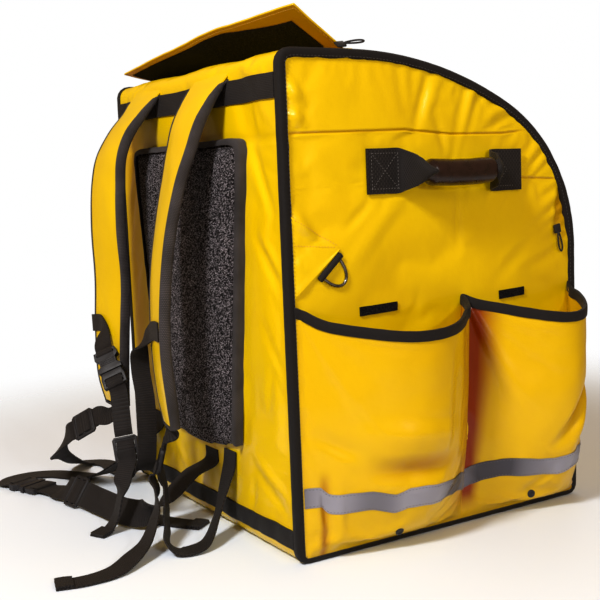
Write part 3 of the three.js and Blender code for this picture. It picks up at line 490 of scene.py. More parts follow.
# %% Woven ribs
ribs_tree, given, made = effect_group(
    "Woven ribs",
    {"Vector": "Vector", "Ribs per metre": "Float", "Threads per metre": "Float"},
    {"Height": "Float", "Shade": "Float"},
)
place = wire(ribs_tree, "SeparateXYZ", Vector=given["Vector"]).outputs
along = sums(ribs_tree, "MULTIPLY", place["Y"], given["Ribs per metre"])
across = sums(ribs_tree, "MULTIPLY", place["X"], given["Threads per metre"])
offset = sums(ribs_tree, "MULTIPLY", sums(ribs_tree, "FLOOR", along), 0.5)
rib = sums(ribs_tree, "ABSOLUTE", sums(ribs_tree, "SINE", sums(ribs_tree, "MULTIPLY", along, math.pi)))
shifted = sums(ribs_tree, "MULTIPLY", sums(ribs_tree, "ADD", across, offset), math.pi)
thread = sums(ribs_tree, "ABSOLUTE", sums(ribs_tree, "SINE", shifted))
ribs_tree.links.new(sums(ribs_tree, "MULTIPLY", rib, thread), made["Height"])
ribs_tree.links.new(sums(ribs_tree, "MULTIPLY_ADD", rib, 0.6, 0.4), made["Shade"])
print("effect:", ribs_tree.name)

# %% Coated grain
grain_tree, given, made = effect_group(
    "Coated grain", {"Vector": "Vector"}, {"Height": "Float", "Tone": "Float", "Gloss": "Float"}
)
broad = clouds(grain_tree, given["Vector"], 11.0, 3.0)
leather = clouds(grain_tree, given["Vector"], 900.0, 2.0)
dents = clouds(grain_tree, given["Vector"], 55.0, 2.0)
height = sums(grain_tree, "MULTIPLY_ADD", leather, 0.12, dents)
grain_tree.links.new(height, made["Height"])
grain_tree.links.new(broad, made["Tone"])
grain_tree.links.new(sums(grain_tree, "MULTIPLY_ADD", dents, 0.5, leather), made["Gloss"])
print("effect:", grain_tree.name)

# %% Foot dust
dust_tree, given, made = effect_group("Foot dust", {"Vector": "Vector", "Reach": "Float"}, {"Mask": "Float"})
level_of = wire(dust_tree, "SeparateXYZ", Vector=given["Vector"]).outputs["Z"]
speck = clouds(dust_tree, given["Vector"], 70.0, 4.0)
fall = sums(dust_tree, "SUBTRACT", 1.0, sums(dust_tree, "DIVIDE", level_of, given["Reach"]))
patchy = sums(dust_tree, "MULTIPLY", wire(dust_tree, "Clamp", Value=fall).outputs[0], speck)
dust_tree.links.new(patchy, made["Mask"])
print("effects:", [tree.name for tree in bpy.data.node_groups])


# %% [markdown]
# The coated cloth is a strong yellow that turns orange where light bounces between two folds. That comes by
# itself from a base colour with almost no blue. It needs a half-gloss coat, a fine grain and slightly
# uneven roughness, so that highlights break up as they do on soft vinyl. A point attribute called fold mixes
# in a painted shade of deep orange: in pleats too tight for light to bounce in, in creases, over the
# pockets, beside the straps and under the flap.

# %% Finish helpers
def new_finish(name, color, roughness, metallic=0.0):
    finish = bpy.data.materials.new(name)
    finish.use_nodes = True
    tree = finish.node_tree
    shader = tree.nodes["Principled BSDF"]
    shader.inputs["Base Color"].default_value = (*color, 1)
    shader.inputs["Roughness"].default_value = roughness
    shader.inputs["Metallic"].default_value = metallic
    spot = tree.nodes.new("ShaderNodeTexCoord").outputs
    return finish, tree, shader.inputs, spot


def use_effect(tree, effect, **inputs):
    node = tree.nodes.new("ShaderNodeGroup")
    node.node_tree = effect
    for key, value in inputs.items():
        feed(tree, node.inputs[key.replace("_", " ")], value)
    return node.outputs


def blend_colors(tree, share, first, second):
    mixer = wire(tree, "Mix", {"data_type": "RGBA"}, Factor=share)
    for socket, color in ((mixer.inputs[6], first), (mixer.inputs[7], second)):
        feed(tree, socket, (*color, 1) if isinstance(color, tuple) else color)
    return mixer.outputs[2]


def color_by(tree, sockets, share, first, second):
    tree.links.new(blend_colors(tree, share, first, second), sockets["Base Color"])


def rough_by(tree, sockets, share, gain, least):
    tree.links.new(sums(tree, "MULTIPLY_ADD", share, gain, least), sockets["Roughness"])


def add_bump(tree, sockets, height, strength, distance):
    bump = wire(tree, "Bump", Strength=strength, Distance=distance, Height=height)
    tree.links.new(bump.outputs["Normal"], sockets["Normal"])


print("finish helpers ready")

# %% Yellow coated cloth
YELLOW, tree, sockets, spot = new_finish("yellow coated cloth", (0.86, 0.46, 0.0), 0.36)
grain = use_effect(tree, grain_tree, Vector=spot["Object"])
dust = use_effect(tree, dust_tree, Vector=spot["Object"], Reach=0.12)
tones = blend_colors(tree, grain["Tone"], (0.74, 0.485, 0.0), (0.79, 0.565, 0.0003))
dusty = blend_colors(tree, sums(tree, "MULTIPLY", dust["Mask"], 0.3), tones, (0.4, 0.19, 0.01))
# Painted shade: the fold attribute darkens the yellow towards deep orange in pleats, creases and shadows.
deep = wire(tree, "Attribute", {"attribute_name": "fold"}).outputs["Fac"]
color_by(tree, sockets, deep, dusty, (0.26, 0.035, 0.0))
rough_by(tree, sockets, grain["Gloss"], 0.16, 0.24)
sockets["Specular IOR Level"].default_value = 0.15
sockets["Coat Weight"].default_value = 0.36
sockets["Coat Roughness"].default_value = 0.13
add_bump(tree, sockets, grain["Height"], 0.35, 0.0012)
print("finish:", YELLOW.name)


# %% [markdown]
# Webbing and edge tape are woven black nylon: one has bold ribs across it, the other is a flat grosgrain.
# The mesh on the pad and under the straps is a black spacer fabric whose open knots catch the light as grey
# specks, so its colour comes from a cell pattern in which each cell has its own brightness.

# %% Black fabrics
def woven_finish(name, color, light, ribs, threads, coordinates, strength):
    finish, tree, sockets, spot = new_finish(name, color, 0.72)
    vector = spot[coordinates]
    weave = use_effect(tree, ribs_tree, Vector=vector, Ribs_per_metre=ribs, Threads_per_metre=threads)
    worn = clouds(tree, spot["Object"], 38.0, 4.0)
    share = sums(tree, "MULTIPLY", weave["Height"], worn)
    color_by(tree, sockets, share, color, light)
    rough_by(tree, sockets, worn, 0.3, 0.5)
    sockets["Sheen Weight"].default_value = 0.04
    sockets["Specular IOR Level"].default_value = 0.3
    add_bump(tree, sockets, weave["Height"], strength, 0.0006)
    return finish


WEBBING = woven_finish("black webbing", (0.006, 0.0045, 0.0045), (0.05, 0.04, 0.038), 620, 800, "UV", 0.6)
EDGING = woven_finish("ribbed edging", (0.009, 0.008, 0.0085), (0.2, 0.176, 0.184), 900, 640, "UV", 0.7)
TAPE = woven_finish("black edge tape", (0.006, 0.0045, 0.0045), (0.028, 0.022, 0.021), 900, 900, "UV", 0.5)


def mesh_finish(name, density, brightness):
    finish, tree, sockets, spot = new_finish(name, (0.004, 0.004, 0.005), 0.85)
    cells = wire(tree, "TexVoronoi", Vector=spot["Object"], Scale=density, Randomness=0.9).outputs
    knot = spread(tree, cells["Distance"], 0.6, 0.2)
    chance = wire(tree, "SeparateColor", Color=cells["Color"]).outputs["Red"]
    lit = spread(tree, chance, 0.25, 1.0)
    share = sums(tree, "MULTIPLY", knot, lit)
    color_by(tree, sockets, share, (0.004, 0.0035, 0.0045), brightness)
    sockets["Specular IOR Level"].default_value = 0.2
    add_bump(tree, sockets, knot, 0.9, 0.0009)
    return finish


MESH = mesh_finish("black spacer mesh", 900.0, (0.86, 0.78, 0.84))
HOOKS = mesh_finish("black hook tape", 900.0, (0.05, 0.045, 0.045))
print("finishes:", WEBBING.name, TAPE.name, MESH.name, HOOKS.name)

# %% [markdown]
# The hard things are few: moulded buckles, a soft tube on each handle, darkened steel rings and zip pulls.
# The reflective stripe is cloth covered in tiny glass beads: grey, a little violet, with a fine crossed
# pattern.

# %% Plastic, rubber and steel
PLASTIC, tree, sockets, spot = new_finish("dark moulded plastic", (0.017, 0.016, 0.018), 0.4)
mould = clouds(tree, spot["Object"], 1400.0, 2.0)
scuff = clouds(tree, spot["Object"], 90.0, 5.0)
rough_by(tree, sockets, scuff, 0.35, 0.3)
sockets["Specular IOR Level"].default_value = 0.35
color_by(tree, sockets, scuff, (0.012, 0.011, 0.013), (0.03, 0.028, 0.031))
add_bump(tree, sockets, mould, 0.25, 0.0004)

GRIP, tree, sockets, spot = new_finish("soft grip tube", (0.012, 0.006, 0.005), 0.3)
streak = clouds(tree, spot["Object"], 120.0, 3.0)
color_by(tree, sockets, streak, (0.006, 0.003, 0.003), (0.034, 0.012, 0.009))
rough_by(tree, sockets, streak, 0.3, 0.15)
add_bump(tree, sockets, streak, 0.2, 0.0006)

STEEL, tree, sockets, spot = new_finish("darkened steel", (0.13, 0.12, 0.115), 0.3, 0.9)
rubbed = clouds(tree, spot["Object"], 240.0, 4.0)
color_by(tree, sockets, rubbed, (0.05, 0.046, 0.044), (0.3, 0.28, 0.27))
rough_by(tree, sockets, rubbed, 0.3, 0.14)
print("finishes:", PLASTIC.name, GRIP.name, STEEL.name)

# %% Reflective stripe
STRIPE, tree, sockets, spot = new_finish("reflective stripe", (0.22, 0.21, 0.26), 0.4, 0.3)
beads = use_effect(tree, ribs_tree, Vector=spot["UV"], Ribs_per_metre=800, Threads_per_metre=800)
smear = clouds(tree, spot["Object"], 45.0, 4.0)
lengthwise = wire(tree, "SeparateXYZ", Vector=spot["UV"]).outputs["X"]
# Painted reflection: lighter and darker stretches along the stripe, as its beads catch the light where it
# turns.
painted_reflection_noise = wire(tree, "TexNoise", {"noise_dimensions": "1D"}, W=lengthwise, Scale=13.0, Detail=0.0)
turned = spread(tree, painted_reflection_noise.outputs["Fac"], 0.34, 0.66)
color_by(tree, sockets, turned, (0.068, 0.065, 0.082), (0.31, 0.3, 0.35))
rough_by(tree, sockets, smear, 0.25, 0.2)
add_bump(tree, sockets, beads["Height"], 0.2, 0.0003)


print("finish:", STRIPE.name)


# %% Threads
def thread_finish(name, dark, light):
    finish, tree, sockets, spot = new_finish(name, light, 0.7)
    twist = clouds(tree, spot["Object"], 500.0, 2.0)
    color_by(tree, sockets, twist, dark, light)
    sockets["Sheen Weight"].default_value = 0.3
    return finish


GREY_THREAD = thread_finish("grey thread", (0.07, 0.062, 0.06), (0.22, 0.2, 0.19))
YELLOW_THREAD = thread_finish("yellow thread", (0.5, 0.26, 0.01), (0.8, 0.5, 0.04))
BLACK_THREAD = thread_finish("black thread", (0.01, 0.008, 0.008), (0.06, 0.05, 0.05))
print("finishes in all:", len(bpy.data.materials))

# %% [markdown]
# ## The body: sizes
# Each side is a D lying on its back: a flat base, upright front and rear, and a lid of two arcs. These are
# the frame's own sizes in millimetres. The distance from the edge tells where tape covers the cloth and
# where the sewing gathers it.

# %% Outline of a side
HALF_DEPTH = 190.0
TALL = 500.0
FOOT = {"radius": 12.0, "z": 13.5}
TOP_REAR = {"y": -176.0, "z": 486.0, "radius": 14.0}
LID_ARC = {"y": -110.0, "z": 65.0, "radius": 435.0}
SHOULDER = {"y": 10.0, "z": 290.0, "radius": 180.0}
ARCS_MEET = math.degrees(math.atan2(SHOULDER["z"] - LID_ARC["z"], SHOULDER["y"] - LID_ARC["y"]))
FOLD_Z = 419.0


def arc_stations(arc, start, stop, steps):
    stations = []
    for angle in np.radians(np.linspace(start, stop, steps + 1)):
        ny, nz = math.cos(angle), math.sin(angle)
        stations.append((arc["y"] + arc["radius"] * ny, arc["z"] + arc["radius"] * nz, ny, nz))
    return stations


FRONT_FOOT = {"y": HALF_DEPTH - FOOT["radius"], **FOOT}
REAR_FOOT = {"y": FOOT["radius"] - HALF_DEPTH, **FOOT}


def inside(y, z):
    """How far a point lies inside the outline of a side."""
    found = [z - 1.5, y + HALF_DEPTH, HALF_DEPTH - y, TALL - z]
    if z > SHOULDER["z"] and 0 <= math.degrees(math.atan2(z - SHOULDER["z"], y - SHOULDER["y"])) <= ARCS_MEET:
        found.append(SHOULDER["radius"] - math.hypot(y - SHOULDER["y"], z - SHOULDER["z"]))
    if ARCS_MEET <= math.degrees(math.atan2(z - LID_ARC["z"], y - LID_ARC["y"])) <= 90:
        found.append(LID_ARC["radius"] - math.hypot(y - LID_ARC["y"], z - LID_ARC["z"]))
    if y < TOP_REAR["y"] and z > TOP_REAR["z"]:
        found.append(TOP_REAR["radius"] - math.hypot(y - TOP_REAR["y"], z - TOP_REAR["z"]))
    if z < FOOT["z"] and abs(y) > FRONT_FOOT["y"]:
        found.append(FOOT["radius"] - math.hypot(abs(y) - FRONT_FOOT["y"], z - FOOT["z"]))
    return min(found)


print("middle of a side lies", round(inside(0, 250)), "mm from its edge")

# %% [markdown]
# ## Side panels
# The side is one big cut of cloth over foam. On the real bag it is nearly flat, with a fold line from
# packing at two heights, short puckers where the curved tape gathers it and shallow dents elsewhere. The
# dents are drawn with noise and a few named folds, then the cloth is settled so that they soften and swell.

# %% Wrinkles of a side
GATHER = {"y": -40.0, "z": 230.0, "radius": 265.0, "pitch": 23.0, "height": 1.7, "fade": 19.0}
SOFT_FOLDS = [
    {"from": (-118, 292), "to": (-52, 362), "reach": 15, "height": 1.6},
    {"from": (18, 356), "to": (20, 305), "reach": 8, "height": -1.7},
    {"from": (-13, 480), "to": (-32, 427), "reach": 9, "height": -2.0},
    {"from": (-1, 478), "to": (-20, 428), "reach": 10, "height": 1.3},
    {"from": (25, 470), "to": (21, 452), "reach": 7, "height": -1.9},
    {"from": (55, 462), "to": (60, 446), "reach": 7, "height": -1.9},
    {"from": (68, 458), "to": (77, 446), "reach": 6, "height": -1.7},
    {"from": (108, 440), "to": (64, 424), "reach": 8, "height": -2.0},
    {"from": (104, 449), "to": (62, 436), "reach": 8, "height": 1.5},
    {"from": (-5, 433), "to": (5, 402), "reach": 8, "height": -1.5},
    {"from": (-93, 352), "to": (-121, 329), "reach": 8, "height": -1.6},
    {"from": (173, 360), "to": (138, 344), "reach": 8, "height": -1.9},
    {"from": (150, 340), "to": (110, 318), "reach": 13, "height": 1.3},
    {"from": (120, 300), "to": (70, 262), "reach": 13, "height": -1.4},
    {"from": (-180, 468), "to": (-168, 450), "reach": 11, "height": 4.4},
    {"from": (-179, 444), "to": (-166, 430), "reach": 10, "height": 4.0},
    {"from": (-179, 346), "to": (-164, 324), "reach": 10, "height": 4.0},
]
CREASES = [
    {"line": [(-190, 421), (-100, 422), (-46, 423), (11, 418), (86, 418), (125, 421)], "depth": 1.5},
    {"line": [(104, 371), (140, 368), (180, 366)], "depth": 1.4},
]
CREASE_REACH = 2.0
LENS = {"foot": (158, 300), "top": (177, 388), "depth": 3.4}


def from_line(y, z, fold):
    """Distance from a fold's line, and how far along it the nearest point is."""
    a, b = np.array(fold["from"], float), np.array(fold["to"], float)
    t = np.clip(((y, z) - a) @ (b - a) / ((b - a) @ (b - a)), 0, 1)
    return np.linalg.norm(a + t * (b - a) - (y, z)), t


def folds_rise(a, b, folds, ends):
    """How far drawn folds lift a point. Each keeps a share of its height at its ends."""
    rise = 0.0
    for fold in folds:
        gap, t = from_line(a, b, fold)
        rise += fold["height"] * near(gap, 0, fold["reach"]) * lerp(ends, 1, hump(t))
    return rise


def in_crease(y, z, crease):
    """How deep in a packing crease a point lies, from 0 to 1."""
    line = crease["line"]
    ends = ease((y - line[0][0]) / 8) * ease((line[-1][0] - y) / 25)
    return ends * near(z, np.interp(y, *zip(*line)), CREASE_REACH)


def in_lens(y, z, soft):
    """How deep in the opening beside the front pull a point lies, from 0 to 1."""
    up = (z - LENS["foot"][1]) / (LENS["top"][1] - LENS["foot"][1])
    if not 0 < up < 1:
        return 0.0
    edge = lerp(LENS["foot"][0], LENS["top"][0], up) - 3 * hump(up)
    return ease((y - edge) / soft) * hump(up) ** 0.5


def side_wrinkles(y, z, seed):
    depth = inside(y, z)
    free = ease((depth - 6) / 34)
    rise = free * (1.7 * ripple(y, z, seed, 92) + 0.7 * ripple(y, z, seed + 40, 41))
    angle = math.atan2(z - GATHER["z"], y - GATHER["y"])
    on_curve = ease((math.degrees(angle) - 8) / 14) * (1 - ease((math.degrees(angle) - 84) / 14))
    spot = angle * GATHER["radius"]
    gathers = math.sin(2 * math.pi * spot / GATHER["pitch"] + 5 * ripple(spot, seed, 0, 60))
    strength = 0.15 + 1.5 * max(0, ripple(spot, seed, 90, 38) + 0.1)
    fade = math.exp(-max(0, depth - 9) / (GATHER["fade"] * (0.6 + strength)))
    rise += on_curve * GATHER["height"] * strength * gathers * fade * ease((depth - 4) / 8)
    rise += folds_rise(y, z, SOFT_FOLDS, 0.35)
    for crease in CREASES:
        rise -= crease["depth"] * in_crease(y, z, crease) * ease((depth - 4) / 12)
    return rise - LENS["depth"] * in_lens(y, z, 4)


def crown_x(y, z):
    return 199.0 + 3.0 * ease((inside(y, z) - 8) / 90)


print("deepest pucker:", round(min(side_wrinkles(y, 400, 3) for y in range(60, 140, 2)), 2), "mm")


# %% Painted shade in folds
def mark_painted_shade(piece, shades):
    """Stores how much painted shade each point gets, as a point attribute named fold."""
    piece.data.attributes.new("fold", "FLOAT", "POINT").data.foreach_set("value", shades)


def side_painted_shade(y, z):
    """Painted shade in the packing creases and in the opening beside the front pull."""
    return max(0.5 * in_lens(y, z, 5), *[0.45 * in_crease(y, z, crease) for crease in CREASES])


print("shade in the front opening:", round(side_painted_shade(172, 345), 2))

# %% Side cloth, right and left
HANDLE_ENDS = [(-96, -50, 358, 407), (61, 107, 355, 403)]
STEP = 3.4


def sewn_on_side(y, z):
    under_handle = any(a <= y <= b and c <= z <= d for a, b, c, d in HANDLE_ENDS)
    return inside(y, z) < 9.5 or under_handle


LEVELS = np.sort([*np.arange(5, 498, STEP), *np.arange(414, 427, 1.0), *np.arange(363, 374, 1.0)])


def side_cloth(label, side, seed):
    columns, rows = round(372 / STEP), len(LEVELS) - 1

    def place(u, v):
        y, z = lerp(-186, 186, u), LEVELS[round(v * rows)]
        return side * (crown_x(y, z) + side_wrinkles(y, z, seed)), y, z

    piece = grid_piece(f"side_cloth_{label}", columns, rows, place, facing=(side, 0, 0))
    keep_points(piece, [inside(y / MM, z / MM) > 3 for x, y, z in points_of(piece)])
    sewn = [sewn_on_side(y / MM, z / MM) for x, y, z in points_of(piece)]
    settle(piece, sewn, pressure=0.9, slack=0.004, cap=2.0)
    # Painted shade in the creases and the opening by the front pull goes into the fold attribute.
    mark_painted_shade(piece, [side_painted_shade(y / MM, z / MM) for x, y, z in points_of(piece)])
    thicken(piece, 2)
    dress(piece, YELLOW, "yellow_pvc", f"side_panel_{label}")
    return piece


side_seeds = {"right": 3.0, "left": 57.0}
side_face = {label: cloth_under(side_cloth(label, SIDES[label], seed)) for label, seed in side_seeds.items()}


def on_side(label, y, z, lift=0.0):
    """The point of a side's settled cloth at a depth and a height, lifted off it."""
    side = SIDES[label]
    return side_face[label]((side * 260, y, z), (-side, 0, 0)) + (side * lift, 0, 0)


print("cloth at the ring tab:", on_side("right", -160, 300).round(1))

# %% [markdown]
# ## Back, lid, front and base
# These panels run across the bag between the two sides. Each follows a list of stations, a point with its
# outward direction, so one function cuts them all. The back turns over at the top into a soft rounded strip
# that the flap closes on, and keeps the same packing fold as the sides.

# %% Panels across the bag
PANEL_HALF = 194.0


def even_stations(stations, spacing):
    """The same line with stations at an even spacing."""
    line = np.array(stations, float)
    reach = distances(line[:, :2])
    wanted = np.linspace(0, reach[-1], max(2, round(reach[-1] / spacing)) + 1)
    return np.stack([np.interp(wanted, reach, line[:, k]) for k in range(4)], axis=1)


def across_cloth(name, stations, node, lift, facing, seed, pressure, depth=None):
    line = even_stations(stations, 4.0)
    rows, columns = len(line) - 1, round(2 * PANEL_HALF / 4)
    sign = -1 if facing[1] > 0 else 1

    def place(u, v):
        y, z, ny, nz = line[round(v * rows)]
        x = sign * lerp(-PANEL_HALF, PANEL_HALF, u)
        rise = lift(x, y, z, v) + 0.8 * ripple(x, y, z + seed, 80) * ease((PANEL_HALF - abs(x)) / 40)
        return x, y + ny * rise, z + nz * rise

    piece = grid_piece(name, columns, rows, place, facing=facing)
    spots = points_of(piece) / MM
    shares = np.repeat(np.arange(rows + 1) / rows, columns + 1)
    sewn = (np.abs(spots[:, 0]) > PANEL_HALF - 9) | (shares < 0.02) | (shares > 0.98)
    settle(piece, sewn, pressure=pressure, slack=0.004, cap=2.0)
    # A painted shade, where one is given, is stored in the fold attribute.
    if depth:
        mark_painted_shade(piece, [depth(x, z) for x, y, z in spots])
    thicken(piece, 2)
    dress(piece, YELLOW, "yellow_pvc", node)
    return piece


print("panels reach", PANEL_HALF, "mm to each side")


# %% Back
def back_lift(x, y, z, v):
    line = FOLD_Z + 1.5 * ripple(x, 0, 5, 110)
    rise = folds_rise(x, z, BACK_FOLDS, 0.3) - 1.8 * near(z, line, 4.2)
    if z > 470:
        rise += 1.5 * ripple(x, 3, 8, 70) * ease((v - 0.8) / 0.08)
    return rise


BACK_FOLDS = [
    {"from": (146, 408), "to": (178, 346), "reach": 9, "height": -2.2},
    {"from": (146, 322), "to": (188, 272), "reach": 9, "height": -2.3},
    {"from": (158, 322), "to": (190, 288), "reach": 9, "height": 1.6},
    {"from": (150, 452), "to": (158, 424), "reach": 7, "height": 1.6},
    {"from": (124, 96), "to": (188, 62), "reach": 9, "height": 2.2},
    {"from": (122, 82), "to": (184, 46), "reach": 8, "height": -2.0},
    {"from": (120, 70), "to": (112, 36), "reach": 9, "height": -1.8},
    {"from": (-160, 380), "to": (-182, 300), "reach": 9, "height": -1.2},
    {"from": (-80, 74), "to": (-40, 44), "reach": 10, "height": 1.3},
    {"from": (150, 240), "to": (186, 190), "reach": 10, "height": -1.0},
]
back_line = [
    *arc_stations(REAR_FOOT, 270, 180, 6),
    *[(-HALF_DEPTH, z, -1, 0) for z in np.linspace(20, 480, 40)],
    *arc_stations(TOP_REAR, 180, 90, 6),
    (-111.0, TALL, 0, 1),
]
# Painted shadows of the straps on the back: a line, how far the shade reaches and how dark it is.
PAINTED_SHADOWS = [
    {"from": (-168, 444), "to": (-165, 120), "reach": 40, "depth": 0.4},
    {"from": (28, 452), "to": (32, 424), "reach": 30, "depth": 0.4},
]


def back_painted_shadow(x, z):
    """A painted shadow on the cloth beside each strap, where the strap keeps the light off."""
    return max(shade["depth"] * near(from_line(x, z, shade)[0], 0, shade["reach"]) for shade in PAINTED_SHADOWS)


back_cloth = across_cloth(
    "back_cloth", back_line, "back_panel", back_lift, (0, -1, 0), 11, 0.5, depth=back_painted_shadow)
back_face = cloth_under(back_cloth)


def on_back(x, z, lift):
    """The point of the settled back at a width and a height, lifted off it."""
    return back_face((x, -260, z), (0, 1, 0)) - (0, lift, 0)


# %% Lid, front and base
def panel_crown(x, v):
    """A padded panel is fullest in its middle."""
    return 5 * (1 - (x / PANEL_HALF) ** 2) * hump(v)


def lid_lift(x, y, z, v):
    edge = PANEL_HALF - abs(x)
    spot = v * 430
    gathers = math.sin(2 * math.pi * spot / 21 + 4 * ripple(spot, x, 0, 80))
    return panel_crown(x, v) + 1.0 * gathers * math.exp(-max(0, edge - 20) / 16) * ease((edge - 14) / 10)


def front_lift(x, y, z, v):
    return panel_crown(x, v) + 1.6 * ripple(x, y, z, 60) * hump(v)


lid_line = [*arc_stations(SHOULDER, 0, ARCS_MEET, 24), *arc_stations(LID_ARC, ARCS_MEET, 90, 24)[1:]]
across_cloth("lid_cloth", lid_line, "lid_panel", lid_lift, (0, 1, 0.5), 23, 0.6)
front_line = [
    *arc_stations(FRONT_FOOT, -90, 0, 6),
    *[(HALF_DEPTH, z, 1, 0) for z in np.linspace(20, SHOULDER["z"] - 0.5, 30)],
]
across_cloth("front_cloth", front_line, "front_panel", front_lift, (0, 1, 0), 37, 0.6)

BASE_HALF = FRONT_FOOT["y"] - 0.4


def base_place(u, v):
    return lerp(-PANEL_HALF, PANEL_HALF, u), lerp(BASE_HALF, -BASE_HALF, v), 0.2


base_cloth = grid_piece("base_cloth", 60, 60, base_place, facing=(0, 0, -1))
thicken(base_cloth, 7)
use_modifier(base_cloth, "BEVEL", width=1.5 * MM, segments=2, limit_method="ANGLE")
dress(base_cloth, YELLOW, "yellow_pvc", "base_panel")

# %% [markdown]
# ## Edge tape
# A folded tape closes the corner all round each side. It is a closed ring with a rounded L for a section,
# so the grid is rolled up in both directions and welded. Small waves along it and a sewn line near its
# inner edge keep it from looking moulded.

# %% Tape round each side
TAPE_SECTION = [
    (-8.0, 193.2), (-8.1, 199.6), (-7.7, 200.7), (-6.4, 201.3), (-3.5, 201.6), (-1.0, 201.4), (0.6, 200.5),
    (1.4, 199.2), (1.6, 197.0), (1.5, 194.6), (1.0, 192.6), (-0.5, 192.4),
]


def side_loop(spacing):
    stations = [
        *arc_stations(FRONT_FOOT, -90, 0, 6),
        *arc_stations(SHOULDER, 0, ARCS_MEET, 30),
        *arc_stations(LID_ARC, ARCS_MEET, 90, 30)[1:],
        *arc_stations(TOP_REAR, 90, 180, 8),
        *arc_stations(REAR_FOOT, 180, 270, 6),
    ]
    return even_stations([*stations, stations[0]], spacing)


LOOP = side_loop(5.0)


def tape_share(rise):
    """Along the floor the tape is folded further under, so less of it shows."""
    return lerp(1, 0.66, ease((-rise - 0.3) / 0.5))


def edge_tape(label, side, seed):
    rows, columns = len(LOOP) - 1, len(TAPE_SECTION)

    def place(u, v):
        k = round(v * rows) % rows
        y, z, ny, nz = LOOP[k]
        length = math.hypot(ny, nz)
        out, x = TAPE_SECTION[round(u * columns) % columns]
        wave = 0.35 * ripple(k * 5, seed, 0, 17) + 0.3 * ripple(k * 5, seed, 20, 6)
        if out < -7.9 or x < 194:
            wave *= 3.6
        out *= tape_share(nz / length) if out < 0 else 1
        shift = out + (wave if out < 1 else wave * 0.3)
        return side * (x + 0.3 * wave), y + ny / length * shift, max(0.1, z + nz / length * shift)

    piece = rolled_piece(f"edge_tape_{label}", columns, rows, place)
    dress(piece, TAPE, "black_tape", f"edge_binding_{label}")
    return piece


edge_tape("right", 1, 4.0)
edge_tape("left", -1, 71.0)

# %% [markdown]
# ## Stitches
# One stitch is a small flattened bead. An Array modifier repeats it along a line and a Curve modifier lays
# the row on its path, which is how sewing is usually drawn in Blender. All rows of one thread are then
# joined.

# %% The stitch tool
THREADS = {
    "grey": (GREY_THREAD, "reflective_tape"),
    "yellow": (YELLOW_THREAD, "yellow_pvc"),
    "black": (BLACK_THREAD, "black_tape"),
}
stitch_rows = {name: [] for name in THREADS}


def lay_along(row, path, pitch):
    """Repeats a small piece at a pitch along a path, both in millimetres."""
    line = bpy.data.curves.new("guide line", "CURVE")
    line.dimensions = "3D"
    run = line.splines.new("POLY")
    run.points.add(len(path) - 1)
    for point, spot in zip(run.points, path):
        point.co = (*(np.asarray(spot, float) * MM), 1)
    guide = bpy.data.objects.new("guide line", line)
    bpy.context.scene.collection.objects.link(guide)
    use_modifier(row, "ARRAY", fit_type="FIT_CURVE", curve=guide, use_relative_offset=False,
                 use_constant_offset=True, constant_offset_displace=(pitch * MM, 0, 0))
    use_modifier(row, "CURVE", object=guide, deform_axis="POS_X")
    bpy.data.objects.remove(guide)
    return row


def stitch(thread, path, pitch=4.2, length=2.8, width=0.9):
    """One row of stitches along a path of points in millimetres."""
    bpy.ops.object.select_all(action="DESELECT")
    bpy.ops.mesh.primitive_uv_sphere_add(segments=6, ring_count=4, radius=1)
    bead = stretch(bpy.context.object, (length / 2, width / 2, width / 2))
    stitch_rows[thread].append(lay_along(bead, path, pitch))


def straight(start, stop, spacing=10):
    steps = max(1, round(math.dist(start, stop) / spacing))
    return [tuple(lerp(np.array(start, float), np.array(stop, float), k / steps)) for k in range(steps + 1)]


print("threads:", ", ".join(THREADS))

# %% [markdown]
# ## Pockets
# Two bellows pockets are sewn from one sheet: held at both ends, along the foot and at the divider, and
# full in between. The sheet starts on the frame's own bulging shape, with its edges drawn in under the
# tape. Then cloth simulation adds a little slack and weight, so that it sags and folds towards the foot by
# itself.

# %% Pocket shape
POCKETS = [
    {"from": -181.0, "to": 21.5, "bulge": 62.0, "lean": 1.4},
    {"from": 21.5, "to": 181.0, "bulge": 64.0, "lean": 1.7},
]
DIVIDER = POCKETS[0]["to"]
POCKET_HALF = 184.0
POCKET_FOOT = 6.0
POCKET_GRID = (150, 72)


def pocket_reach(y):
    for pocket in POCKETS:
        if y <= pocket["to"] or pocket is POCKETS[-1]:
            t = min(max((y - pocket["from"]) / (pocket["to"] - pocket["from"]), 0.0), 1.0)
            return pocket["bulge"] * max(0.0, hump(t ** pocket["lean"])) ** 0.65


def rim_z(y):
    return 250 - pocket_reach(y) * 20 / 62 + 5 * near(y, -POCKET_HALF, 30)


def pocket_x(y, z):
    below = min(max((rim_z(y) - z) / (rim_z(y) - 10.5), 0.0), 1.0)
    full = 203.2 + pocket_reach(y) * (1 - below ** 3.6) ** 0.6
    edge = min(y + POCKET_HALF, POCKET_HALF - y, z - POCKET_FOOT + 3)
    return lerp(200.3, full, ease(edge / 9))


def pocket_y(u):
    """Even steps round the bulge, so that the steep ends get enough points."""
    return float(np.interp(u, POCKET_REACH, POCKET_Y))


fine_y = np.linspace(-POCKET_HALF, POCKET_HALF, 800)
fine_x = np.array([pocket_x(y, 200) for y in fine_y])
travel = distances(np.stack([fine_y, fine_x], axis=1))
POCKET_Y, POCKET_REACH = fine_y, travel / travel[-1]


